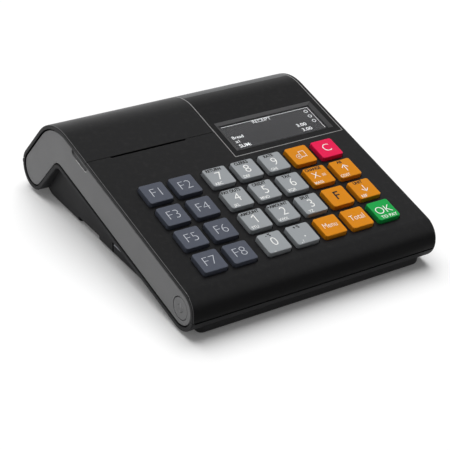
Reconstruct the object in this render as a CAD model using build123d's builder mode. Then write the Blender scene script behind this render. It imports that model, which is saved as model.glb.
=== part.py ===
from build123d import *
from math import atan, cos, degrees, hypot, pi, radians, sin, tan
import os

# Compact ticket register. Millimetres, +X right, +Y to the back, +Z up.
# Origin: middle of the footprint, on the surface that the register stands on.

# ---------------------------------------------------------------- driving dimensions
body_width = 191.0
deck_slope = 12.5            # keyboard deck, degrees up towards the back
rear_slope = 52.5            # back face, degrees down from the peak
band_radius = 14.6           # half the thickness of the folded body, its round nose and round lobe
peak_centre_radius = 20.5    # bend of the folded body's middle line at the peak
deck_run = 148.0             # straight part of the deck
rear_run = 30.3              # straight part of the back slope
nose_height = 16.9           # middle of the round nose above the table
wall = 2.6                   # housing skins
end_edge_round = 0.7         # soft edge round the two ends of the skins
seam = 0.4                   # visible joint between two skins
fit_gap = 0.3                # clearance between separate pieces
nose_seam_angle = 10.0       # shell joint on the nose, degrees below its middle

panel_gap = 1.0              # dark groove round a side panel
panel_recess = 0.5           # side panel set back from the skin's edge
panel_thickness = 2.5
end_wall = 2.4               # housing wall behind a side panel

base_inset = 8.1             # base side, measured in from the body's side at the bottom
base_draft = 4.5             # degrees
base_lift = 0.5              # base underside above the table
base_front_setback = 4.0     # base front behind the nose tip
base_edge_round = 3.6
base_corner_radius = 4.5
base_wall = 2.4
base_rear_start = 69.0       # where the underside starts to rise at the back
base_rear_radius = 22.0
base_rear_sweep = 50.0       # degrees of that rise
notch_front = 15.0           # cable notch in the bottom edge
notch_back = 42.0
notch_height = 4.6
notch_depth = 5.0

key_pitch_x = (body_width - 15.0) / 8
key_pitch_s = 21.5           # row pitch along the deck
key_top_width = key_pitch_x - 4.9
key_top_depth = key_pitch_s - 4.9
key_rise = 2.9               # key top above the deck
key_flare = 0.15             # each side, from key top to deck
key_corner = 1.7
key_edge_round = 0.45
key_shell = 1.6
key_flange = 1.0             # retaining flange, out from the skirt
key_flange_thickness = 1.2
key_travel = 2.0
key_post_radius = 2.5
key_clearance = 0.6          # key to deck opening
lowest_row_s = 14.35         # lowest key row, measured along the deck from the nose
function_column_x = -body_width / 2 + 26.85              # left column of function keys
number_column_x = function_column_x + 2 * key_pitch_x + 4.0  # left column of the number block
row_count = 4
mat_thickness = 1.2
dome_radius = 4.0
board_thickness = 1.6
keyboard_margin = 11.0       # keyboard board beyond the outer key centres

slot_width = 57.3            # paper slot, for 57 mm paper
slot_left = -body_width / 2 + 17.75
slot_right = slot_left + slot_width
slot_opening = 1.1
lid_seam_s = 120.8           # lid's front edge along the deck
lid_right = slot_right + 22.85
hinge_depth = 2.4            # hinge axis in from the lobe's rearmost point, and barrel radius
hinge_pin_radius = 1.0
lid_opening = 80.0           # degrees, for the travel groove below the hinge
knuckle_length = 12.0
knuckle_inset = 14.0         # lid knuckles, in from the ends of the hinge pin

cover_front_s = 94.5         # display cover's front edge along the deck
cover_thickness = 1.6
trim_width = 0.5
cover_left = lid_right + seam + trim_width
cover_right = body_width / 2 - 2.95
cover_end_angle = 9.6        # where the cover hands over to the grey customer frame
customer_end_t = 26.0        # lower end of the customer frame along the back slope
recess_border = 4.1          # cover beside the sunken window
recess_left = cover_left + recess_border
recess_right = cover_right - recess_border
recess_front_s = 99.1
recess_depth = 29.3
recess_bevel = 2.7           # sloping wall round the window, across and along the deck
recess_bevel_s = 2.2
window_thickness = 1.0
window_ledge = 1.2           # lens overlap under the cover
lcd_thickness = 3.0
lcd_margin = 3.0
customer_border = 12.6       # frame beside the customer's window
customer_window_width = cover_right - cover_left - 2 * customer_border
customer_window_height = 15.0
customer_window_t = 4.5      # upper edge along the back slope

button_radius = 7.4
button_clearance = 0.35
button_travel = 0.8
button_flange = 1.2
button_flange_thickness = 1.0

platen_radius = 4.5
platen_shaft_radius = 2.0
platen_depth = 8.2           # below the deck surface
running_fit = 0.05
gear_module = 0.5
platen_teeth = 20
idler_teeth = 32
pinion_teeth = 12
gear_width = 2.6
gear_backlash = 0.12
idler_drop_angle = 12.0      # idler below the platen, degrees from the deck's normal
platen_setback = 4.9         # platen's axis behind the lid's front edge
motor_radius = 7.5
motor_length = 14.0
motor_shaft_radius = 0.75
idler_pin_radius = 1.5
cheek_thickness = 1.8
head_thickness = 3.0
head_height = 8.0
head_top = 5.3               # below the deck
cheek_back = 11.0            # cheek's back edge behind the lid's front edge
cheek_step = 14.0            # cheek's depths below the deck
cheek_depth = 26.0
roll_radius = 24.4           # paper roll bay
bucket_wall = 1.4
bucket_y = 60.0
bucket_height = 33.5         # middle of the paper roll above the table

port_front = -34.0
port_back = -3.4
port_finger_gap = 1.5        # open slot at the flap's rear end
port_gap_top = 9.8
port_bottom = 0.9
port_pivot_height = 8.4
port_barrel = 1.1
port_pin_radius = 0.7
port_pin_length = 1.5

battery_width = 70.0
battery_depth = 38.0
battery_height = 17.0
battery_y = -68.0
board_seat = 9.0
main_board_left = -body_width / 2 + base_inset + 7.1
main_board_right = body_width / 2 - base_inset - 15.1
main_board_front = -44.0
main_board_back = 8.0

foot_radius = 6.0
foot_recess = 1.0
foot_x = body_width / 2 - base_inset - 11.1
front_foot_y = -86.0
rear_foot_y = 60.0
screw_head_radius = 2.8
screw_radius = 1.4
post_radius = 3.2
front_post_x = body_width / 2 - 37.5
front_post_y = -95.6
mid_post = (slot_right + 12.5, 14.0)
back_post = (foot_x, 42.0)
lower_post_radius = 4.2
post_seat = 12.0             # height where the lower and upper posts meet
screw_length = 20.0

os.makedirs("parts", exist_ok=True)

# ---------------------------------------------------------------- the folded body's side profile
a = radians(deck_slope)
b = radians(rear_slope)
along = (cos(a), sin(a))             # up the deck, in (y, z)
outward = (-sin(a), cos(a))          # square to the deck
down_back = (cos(b), -sin(b))        # down the back slope
back_normal = (sin(b), cos(b))


def shifted(point, direction, distance):
    return (point[0] + direction[0] * distance, point[1] + direction[1] * distance)


def off_nose(direction_a, distance_a, direction_b, distance_b):
    return shifted(shifted((0.0, 0.0), direction_a, distance_a), direction_b, distance_b)


bend_start = off_nose(along, deck_run, outward, 0.0)
bend_centre = shifted(bend_start, outward, -peak_centre_radius)
bend_end = shifted(bend_centre, back_normal, peak_centre_radius)
lobe_offset = shifted(bend_end, down_back, rear_run)
body_depth = lobe_offset[0] + 2 * band_radius

nose = (band_radius - body_depth / 2, nose_height)
deck_end = shifted(nose, along, deck_run)
peak = shifted(deck_end, outward, -peak_centre_radius)
slope_start = shifted(peak, back_normal, peak_centre_radius)
lobe = shifted(slope_start, down_back, rear_run)
fold = shifted(nose, along, deck_run + peak_centre_radius * tan((a + b) / 2))
half_width = body_width / 2
end_wall_outer = half_width - panel_recess - panel_thickness
end_wall_inner = end_wall_outer - end_wall
inner_radius = band_radius - wall


def deck_point(s, n):
    """Point s along the deck from the nose, n above its surface, as (y, z)."""
    return shifted(shifted(nose, along, s), outward, band_radius + n)


def rear_point(t, n):
    """Point t down the back slope, n out from its surface."""
    return shifted(shifted(slope_start, down_back, t), back_normal, band_radius + n)


def peak_direction(angle):
    return (sin(radians(angle)), cos(radians(angle)))


def band_face(half, x):
    """Side profile of the folded body with the given half thickness, at x."""
    middle = peak_direction((rear_slope - deck_slope) / 2)
    top = peak_centre_radius + half
    bottom = peak_centre_radius - half
    with BuildSketch(Plane.YZ.offset(x)) as face:
        with BuildLine():
            Line(shifted(nose, outward, half), shifted(deck_end, outward, half))
            ThreePointArc(shifted(deck_end, outward, half), shifted(peak, middle, top),
                          shifted(slope_start, back_normal, half))
            Line(shifted(slope_start, back_normal, half), shifted(lobe, back_normal, half))
            ThreePointArc(shifted(lobe, back_normal, half), shifted(lobe, down_back, half),
                          shifted(lobe, back_normal, -half))
            Line(shifted(lobe, back_normal, -half), shifted(slope_start, back_normal, -half))
            ThreePointArc(shifted(slope_start, back_normal, -half), shifted(peak, middle, bottom),
                          shifted(deck_end, outward, -half))
            Line(shifted(deck_end, outward, -half), shifted(nose, outward, -half))
            ThreePointArc(shifted(nose, outward, -half), shifted(nose, along, -half),
                          shifted(nose, outward, half))
        make_face()
    return face.sketch


def outline_face(points, x):
    """Closed outline of (y, z) points at x."""
    with BuildSketch(Plane.YZ.offset(x)) as face:
        with BuildLine():
            Polyline(*points, close=True)
        make_face()
    return face.sketch


def disc_face(centre, radius, x):
    """Disc round an (y, z) centre at x."""
    with BuildSketch(Plane.YZ.offset(x)) as face:
        with Locations(centre):
            Circle(radius)
    return face.sketch


far = 200.0
seam_front = (-cos(radians(nose_seam_angle)), -sin(radians(nose_seam_angle)))
below_seam = (0.0, -seam)
upper_outline = [shifted(nose, seam_front, far), nose, fold, lobe,
                 shifted(lobe, (1, 0), far), (far, 2 * far), (-far, 2 * far)]
lower_outline = [shifted(p, below_seam, 1) for p in upper_outline[:5]] + [(far, -far), (-far, -far)]


def lid_region(start_s):
    return [deck_point(start_s, far), deck_point(start_s, -9.0), fold, lobe,
            shifted(lobe, (1, 0), far), (far, far)]


hinge = (lobe[0] + band_radius - hinge_depth, lobe[1])

# The plain outer form that all the skins are cut from.
with BuildPart() as outer_form:
    extrude(band_face(band_radius, -half_width), amount=body_width)
    fillet(outer_form.faces().filter_by(Axis.X).edges(), end_edge_round)

with BuildPart() as hollow_form:
    extrude(band_face(inner_radius, -half_width), amount=body_width)


def deck_plane(x, s, n=0.0):
    """Plane lying on the deck, its local x to the right and local y up the deck."""
    y, z = deck_point(s, n)
    return Plane(origin=(x, y, z), x_dir=(1, 0, 0), z_dir=(0, outward[0], outward[1]))


def rear_plane(x, t, n=0.0):
    """Plane lying on the back slope, its local y up the slope."""
    y, z = rear_point(t, n)
    return Plane(origin=(x, y, z), x_dir=(-1, 0, 0), z_dir=(0, back_normal[0], back_normal[1]))


def finish(sub_part, name):
    sub_part.part.label = name
    export_step(sub_part.part, "parts/" + name + ".step")


# ---------------------------------------------------------------- keys
function_x = [function_column_x + key_pitch_x * i for i in range(2)]
number_x = [number_column_x + key_pitch_x * i for i in range(5)]
row_s = [lowest_row_s + key_pitch_s * i for i in range(row_count)]
key_rows = [
    ("f7", "f8", "0", "dot", "menu", "total", "ok"),
    ("f5", "f6", "1", "2", "3", "function", "down"),
    ("f3", "f4", "4", "5", "6", "multiply", "up"),
    ("f1", "f2", "7", "8", "9", "receipt", "clear"),
]
key_spots = [("key_" + name, x, s)
             for s, names in zip(row_s, key_rows)
             for x, name in zip(function_x + number_x, names)]
skirt_width = key_top_width + 2 * key_flare
skirt_depth = key_top_depth + 2 * key_flare
flange_top = wall + fit_gap
flange_bottom = flange_top + key_flange_thickness
post_bottom = flange_bottom - 0.4
mat_top = flange_bottom + key_travel + 0.5
mat_bottom = mat_top + mat_thickness
dome_top = post_bottom + key_travel + fit_gap
board_bottom = mat_bottom + board_thickness

for key_name, key_x, key_s in key_spots:
    with BuildPart() as key:
        with BuildSketch(deck_plane(key_x, key_s)) as cap_outline:
            RectangleRounded(skirt_width, skirt_depth, key_corner)
        extrude(amount=key_rise, taper=degrees(atan(key_flare / key_rise)))
        fillet(key.faces().sort_by(Axis((0, 0, 0), (0, outward[0], outward[1])))[-1].edges(),
               key_edge_round)
        extrude(cap_outline.sketch, amount=-flange_bottom)
        with BuildSketch(deck_plane(key_x, key_s, -flange_top)):
            RectangleRounded(skirt_width + 2 * key_flange, skirt_depth + 2 * key_flange, key_corner)
        extrude(amount=-key_flange_thickness)
        with BuildSketch(deck_plane(key_x, key_s, key_rise - key_shell)):
            RectangleRounded(skirt_width - 2 * key_shell, skirt_depth - 2 * key_shell, key_corner / 2)
        extrude(amount=-(flange_bottom + key_rise), mode=Mode.SUBTRACT)
        with BuildSketch(deck_plane(key_x, key_s, key_rise - key_shell)):
            Circle(key_post_radius)
        extrude(amount=-(post_bottom + key_rise - key_shell))
    finish(key, key_name)

key_left = function_x[0]
key_right = number_x[-1]
board_width = key_right - key_left + 2 * keyboard_margin
board_length = row_s[-1] - row_s[0] + 2 * keyboard_margin
board_x = (key_left + key_right) / 2
board_s = (row_s[0] + row_s[-1]) / 2
# Stand-offs from the deck to the keyboard board, in the gap between the two key blocks.
standoff_x = (function_x[-1] + number_x[0]) / 2
standoff_radius = 1.9
standoff_s = [row_s[0] + key_pitch_s / 2, row_s[-1] - key_pitch_s / 2]

with BuildPart() as keypad_mat:
    with BuildSketch(deck_plane(board_x, board_s, -mat_bottom)):
        RectangleRounded(board_width, board_length, key_corner)
    extrude(amount=mat_thickness)
    for key_name, key_x, key_s in key_spots:
        with BuildSketch(deck_plane(key_x, key_s, -mat_top)):
            Circle(dome_radius)
        extrude(amount=mat_top - dome_top)
    for s in standoff_s:
        with BuildSketch(deck_plane(standoff_x, s, -mat_top)):
            Circle(standoff_radius + fit_gap)
        extrude(amount=-mat_thickness, mode=Mode.SUBTRACT)
finish(keypad_mat, "keypad_mat")

with BuildPart() as keyboard_board:
    with BuildSketch(deck_plane(board_x, board_s, -board_bottom)):
        RectangleRounded(board_width, board_length, key_corner)
    extrude(amount=board_thickness)
    with BuildSketch(deck_plane(board_x, row_s[-1], -board_bottom)):
        Rectangle(24.0, 4.0)
    extrude(amount=-2.2)
finish(keyboard_board, "keyboard_board")

# ---------------------------------------------------------------- display on the deck
cover_break = shifted(peak, peak_direction(cover_end_angle), peak_centre_radius)
deck_to_back = [deck_point(cover_front_s, far), deck_point(cover_front_s, -9.0), cover_break,
                shifted(cover_break, peak_direction(cover_end_angle), far)]
back_only = [shifted(cover_break, peak_direction(cover_end_angle), far), cover_break,
             rear_point(customer_end_t, -9.0), rear_point(customer_end_t, far)]
display_outline = [deck_point(cover_front_s, far), deck_point(cover_front_s, -9.0), fold,
                   rear_point(customer_end_t, -9.0), rear_point(customer_end_t, far)]
trim_outline = [deck_point(cover_front_s - trim_width, far), deck_point(cover_front_s - trim_width, -9.0),
                fold, rear_point(customer_end_t + trim_width, -9.0),
                rear_point(customer_end_t + trim_width, far)]
recess_width = recess_right - recess_left
recess_x = (recess_left + recess_right) / 2
recess_s = recess_front_s + recess_depth / 2
view_width = recess_width - 2 * recess_bevel
view_depth = recess_depth - 2 * recess_bevel_s
lens_width = view_width + 2 * window_ledge
lens_depth = view_depth + 2 * window_ledge
customer_t = customer_window_t + customer_window_height / 2
customer_x = (cover_left + cover_right) / 2
trim_left = cover_left - trim_width
trim_right = cover_right + trim_width


def cover_skin(outline, x_low, x_high):
    """Skin of cover thickness, flush with the body, inside the outline."""
    with BuildPart() as skin:
        add(outer_form.part)
        extrude(band_face(band_radius - cover_thickness, -half_width), amount=body_width,
                mode=Mode.SUBTRACT)
        extrude(outline_face(outline, x_low), amount=x_high - x_low, mode=Mode.INTERSECT)
    return skin.part


with BuildPart() as display_cover:
    add(cover_skin(deck_to_back, cover_left, cover_right))
    with BuildSketch(deck_plane(recess_x, recess_s, -cover_thickness)) as view_opening:
        Rectangle(view_width, view_depth)
    with BuildSketch(deck_plane(recess_x, recess_s)) as recess_opening:
        Rectangle(recess_width, recess_depth)
    loft([view_opening.sketch.face(), recess_opening.sketch.face()], mode=Mode.SUBTRACT)
finish(display_cover, "display_cover")

with BuildPart() as customer_frame:
    add(cover_skin(back_only, cover_left, cover_right))
    with BuildSketch(rear_plane(customer_x, customer_t, -cover_thickness)):
        RectangleRounded(customer_window_width, customer_window_height, 1.0)
    extrude(amount=2 * cover_thickness, mode=Mode.SUBTRACT)
finish(customer_frame, "customer_frame")

with BuildPart() as display_trim:
    add(cover_skin(trim_outline, trim_left, trim_right))
    extrude(outline_face(display_outline, cover_left), amount=cover_right - cover_left,
            mode=Mode.SUBTRACT)
finish(display_trim, "display_trim")

with BuildPart() as display_window:
    with BuildSketch(deck_plane(recess_x, recess_s, -cover_thickness)):
        Rectangle(lens_width, lens_depth)
    extrude(amount=-window_thickness)
finish(display_window, "display_window")

with BuildPart() as operator_lcd:
    with BuildSketch(deck_plane(recess_x, recess_s, -wall)):
        Rectangle(lens_width + 2 * lcd_margin, lens_depth + 2 * lcd_margin)
    extrude(amount=-lcd_thickness)
finish(operator_lcd, "operator_lcd")

with BuildPart() as customer_window:
    with BuildSketch(rear_plane(customer_x, customer_t, -cover_thickness)):
        Rectangle(customer_window_width + 2 * window_ledge, customer_window_height + 2 * window_ledge)
    extrude(amount=-window_thickness)
finish(customer_window, "customer_window")

with BuildPart() as customer_lcd:
    with BuildSketch(rear_plane(customer_x, customer_t, -wall)):
        Rectangle(customer_window_width + 2 * lcd_margin, customer_window_height + 2 * lcd_margin)
    extrude(amount=-lcd_thickness)
finish(customer_lcd, "customer_lcd")

# ---------------------------------------------------------------- base form
floor_top = base_lift + base_wall
base_half = half_width - base_inset
base_front = -body_depth / 2 + base_front_setback
base_back = lobe[0] - 2.0
base_height = 45.0
base_middle = (base_front + base_back) / 2
rear_arc_centre = (base_rear_start, base_lift + base_rear_radius)


def rear_cut(inset, x):
    """Region behind and below the underside's rise at the back, moved in by inset."""
    radius = base_rear_radius - inset
    half = radians(base_rear_sweep / 2)
    full = radians(base_rear_sweep)
    start = shifted(rear_arc_centre, (0, -1), radius)
    middle = shifted(rear_arc_centre, (sin(half), -cos(half)), radius)
    end = shifted(rear_arc_centre, (sin(full), -cos(full)), radius)
    with BuildSketch(Plane.YZ.offset(x)) as face:
        with BuildLine():
            ThreePointArc(start, middle, end)
            Polyline(end, (far, end[1]), (far, -far), (start[0], -far), start)
        make_face()
    return face.sketch


with BuildPart() as base_form:
    with BuildSketch(Plane.XY.offset(base_lift)):
        with Locations((0, base_middle)):
            RectangleRounded(2 * base_half, base_back - base_front, base_corner_radius)
    extrude(amount=base_height, taper=-base_draft)
    fillet(base_form.faces().sort_by(Axis.Z)[0].edges(), base_edge_round)
    extrude(rear_cut(0.0, -far), amount=2 * far, mode=Mode.SUBTRACT)
    extrude(outline_face(lower_outline, -half_width), amount=body_width, mode=Mode.INTERSECT)

with BuildPart() as base_hollow:
    with BuildSketch(Plane.XY.offset(floor_top)):
        with Locations((0, base_middle)):
            RectangleRounded(2 * (base_half - base_wall), base_back - base_front - 2 * base_wall,
                             base_corner_radius - base_wall)
    extrude(amount=base_height, taper=-base_draft)
    extrude(rear_cut(base_wall, -far), amount=2 * far, mode=Mode.SUBTRACT)

# Everything inside the skins, for trimming posts and ribs.
with BuildPart() as inside_form:
    add(base_hollow.part)
    extrude(outline_face(lower_outline, -half_width), amount=body_width, mode=Mode.INTERSECT)
    with BuildPart(mode=Mode.PRIVATE) as band_hollow:
        extrude(band_face(inner_radius, -end_wall_inner), amount=2 * end_wall_inner)
    add(band_hollow.part)

# ---------------------------------------------------------------- upper housing
upper_left = lid_right + seam
slot_s = lid_seam_s - 0.6            # front edge of the paper slot
bar_thickness = 0.5
bar_seat = slot_s - bar_thickness
posts = [(-front_post_x, front_post_y), (front_post_x, front_post_y), mid_post, back_post]


def slot_box(s_from, s_to, depth):
    """Straight cut through the deck's skin over the paper slot's width."""
    with BuildPart() as box:
        with BuildSketch(deck_plane((slot_left + slot_right) / 2, (s_from + s_to) / 2, 1.0)):
            Rectangle(slot_width, s_to - s_from)
        extrude(amount=-(depth + 1.0))
    return box.part


with BuildPart() as upper_housing:
    add(outer_form.part)
    add(hollow_form.part, mode=Mode.SUBTRACT)
    extrude(outline_face(upper_outline, -half_width), amount=body_width, mode=Mode.INTERSECT)
    # room for the lid
    extrude(outline_face(lid_region(lid_seam_s), -half_width), amount=half_width + upper_left,
            mode=Mode.SUBTRACT)
    add(slot_box(bar_seat, lid_seam_s + 1.0, 2 * wall), mode=Mode.SUBTRACT)
    # key openings
    with BuildSketch(deck_plane(0, 0)):
        with Locations(*[(x, s) for name, x, s in key_spots]):
            RectangleRounded(skirt_width + 2 * key_clearance, skirt_depth + 2 * key_clearance,
                             key_corner + key_clearance)
    extrude(amount=-2 * wall, mode=Mode.SUBTRACT)
    # sunken seat for the display cover, its trim and the customer frame
    add(cover_skin(trim_outline, trim_left, trim_right), mode=Mode.SUBTRACT)
    with BuildSketch(deck_plane(recess_x, recess_s)):
        Rectangle(lens_width + 2 * fit_gap, lens_depth + 2 * fit_gap)
    extrude(amount=-2 * wall, mode=Mode.SUBTRACT)
    with BuildSketch(rear_plane(customer_x, customer_t)):
        Rectangle(customer_window_width + 2 * window_ledge + 2 * fit_gap,
                  customer_window_height + 2 * window_ledge + 2 * fit_gap)
    extrude(amount=-2 * wall, mode=Mode.SUBTRACT)
    # wall between the printer bay and the display
    with BuildPart(mode=Mode.PRIVATE) as bay_wall:
        extrude(band_face(inner_radius, upper_left), amount=wall)
        extrude(outline_face(lid_region(lid_seam_s), upper_left), amount=wall, mode=Mode.INTERSECT)
    add(bay_wall.part)
    # stand-offs that carry the keyboard board
    for s in standoff_s:
        with BuildSketch(deck_plane(standoff_x, s, -wall)):
            Circle(standoff_radius)
        extrude(amount=wall - mat_bottom)
    # posts down to the lower housing
    with BuildPart(mode=Mode.PRIVATE) as upper_posts:
        with BuildSketch(Plane.XY.offset(post_seat)):
            with Locations(*posts):
                Circle(post_radius)
        extrude(amount=4 * band_radius)
        add(inside_form.part, mode=Mode.INTERSECT)
    add(upper_posts.part)
    with BuildSketch(Plane.XY.offset(post_seat)):
        with Locations(*posts):
            Circle(screw_radius)
    extrude(amount=screw_length + base_lift - post_seat + fit_gap, mode=Mode.SUBTRACT)
    # hangers of the printer frame
    flange_n = head_top + 4.0
    hanger_s = lid_seam_s - 13.0
    hanger_x = [slot_left + 20.0, slot_right - 6.0]
    for x in hanger_x:
        with BuildSketch(deck_plane(x, hanger_s, -wall)):
            Circle(post_radius)
        extrude(amount=wall - flange_n)
finish(upper_housing, "upper_housing")

# ---------------------------------------------------------------- printer positions
platen = deck_point(lid_seam_s + platen_setback, -platen_depth)
idler_distance = gear_module * (platen_teeth + idler_teeth) / 2 + gear_backlash
pinion_distance = gear_module * (idler_teeth + pinion_teeth) / 2 + gear_backlash
idler_line = (-outward[0] - along[0] * tan(radians(idler_drop_angle)),
              -outward[1] - along[1] * tan(radians(idler_drop_angle)))
idler_unit = hypot(idler_line[0], idler_line[1])
idler = shifted(platen, idler_line, idler_distance / idler_unit)
motor = shifted(idler, along, -pinion_distance)
gear_right = slot_left - 5.4
gear_left = gear_right - gear_width
left_cheek = slot_left - 4.2         # outer face of the left cheek
right_cheek = slot_right + 4.2       # outer face of the right cheek
ear_thickness = 1.4
roller_left = slot_left - 0.2
roller_right = slot_right + 0.2
left_ear = roller_left - 2 * seam - ear_thickness + 0.4
right_ear = roller_right + seam
shaft_right = right_cheek + 2.8
lid_swing = (hinge[1] - platen[1], platen[0] - hinge[0])
swing_length = hypot(lid_swing[0], lid_swing[1])
release = (-lid_swing[0] / swing_length, -lid_swing[1] / swing_length)
knuckle_spans = [(-half_width + knuckle_inset, -half_width + knuckle_inset + knuckle_length),
                 (lid_right - knuckle_inset - knuckle_length + 0.3, lid_right - knuckle_inset + 0.3)]
pin_left = -end_wall_inner + 0.6
pin_right = lid_right - 1.5
lid_relief = hinge_depth + 0.35
hinge_groove = hinge_depth + 0.7

# ---------------------------------------------------------------- printer lid
scoop_width = 23.0

with BuildPart() as printer_lid:
    add(outer_form.part)
    add(hollow_form.part, mode=Mode.SUBTRACT)
    extrude(outline_face(lid_region(lid_seam_s + seam), -half_width), amount=half_width + lid_right,
            mode=Mode.INTERSECT)
    add(slot_box(slot_s, slot_s + slot_opening, 2 * wall), mode=Mode.SUBTRACT)
    # clear the fixed hinge barrel, then grow the lid's own knuckles
    extrude(disc_face(hinge, lid_relief, -half_width), amount=2 * half_width, mode=Mode.SUBTRACT)
    for low, high in knuckle_spans:
        with BuildPart(mode=Mode.PRIVATE) as web:
            extrude(band_face(band_radius, low), amount=high - low)
            extrude(band_face(inner_radius, low), amount=high - low, mode=Mode.SUBTRACT)
            extrude(outline_face(lid_region(lid_seam_s + seam), low), amount=high - low,
                    mode=Mode.INTERSECT)
        add(web.part)
        extrude(disc_face(hinge, hinge_depth, low), amount=high - low)
    extrude(disc_face(hinge, hinge_pin_radius + running_fit, -half_width), amount=2 * half_width,
            mode=Mode.SUBTRACT)
    # ears that carry the platen
    for ear_x in (left_ear, right_ear):
        ear = [deck_point(lid_seam_s + 1.3, -platen_depth), deck_point(lid_seam_s + 8.5, -platen_depth),
               deck_point(lid_seam_s + 10.5, -wall + 0.4), deck_point(lid_seam_s + 2.0, -wall + 0.4)]
        extrude(outline_face(ear, ear_x), amount=ear_thickness)
        extrude(disc_face(platen, 3.6, ear_x), amount=ear_thickness)
        extrude(disc_face(platen, platen_shaft_radius + running_fit, ear_x), amount=ear_thickness,
                mode=Mode.SUBTRACT)
finish(printer_lid, "printer_lid")

with BuildPart() as lid_hinge_pin:
    extrude(disc_face(hinge, hinge_pin_radius, pin_left), amount=pin_right - pin_left)
finish(lid_hinge_pin, "lid_hinge_pin")

# ---------------------------------------------------------------- lower housing
button_hole = button_radius + button_flange + 0.4
port_pivot = (-(base_half + (port_pivot_height - base_lift) * tan(radians(base_draft))) + port_barrel,
              port_pivot_height)
port_relief = 1.9
door_width = 71.4
door_depth = 41.4
door_thickness = 1.5
door_ledge = 2.7
rib = 1.6
rib_height = 13.0
bucket_floor = bucket_height - roll_radius - bucket_wall
board_middle = ((main_board_left + main_board_right) / 2, (main_board_front + main_board_back) / 2)
board_bosses = [(x, y) for x in (main_board_left + 6.0, main_board_right - 5.0)
                for y in (main_board_front + 4.5, main_board_back - 4.0)]
feet = [(x, y) for x in (-foot_x, foot_x) for y in (front_foot_y, rear_foot_y)]
door_screw = (0.0, battery_y - door_depth / 2 - 4.0)


def port_piece(margin, x_low, x_high):
    """Part of the left base wall around the port flap, grown by margin."""
    with BuildPart() as piece:
        add(base_form.part)
        add(base_hollow.part, mode=Mode.SUBTRACT)
        with BuildSketch(Plane.YZ.offset(x_low)):
            with Locations(((port_front + port_back) / 2, (port_bottom - margin + port_pivot_height) / 2)):
                Rectangle(port_back - port_front + 2 * margin, port_pivot_height - port_bottom + margin)
        extrude(amount=x_high - x_low, mode=Mode.INTERSECT)
    return piece.part


def along_y(x, z, radius, y_low, y_high):
    """Round bar along Y."""
    with BuildPart() as bar:
        with BuildSketch(Plane.XZ.offset(-y_high)):
            with Locations((x, z)):
                Circle(radius)
        extrude(amount=y_high - y_low)
    return bar.part


flap_depth = -base_half + base_wall + 0.8
port_pin_end = port_back + port_finger_gap + port_pin_length

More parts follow.
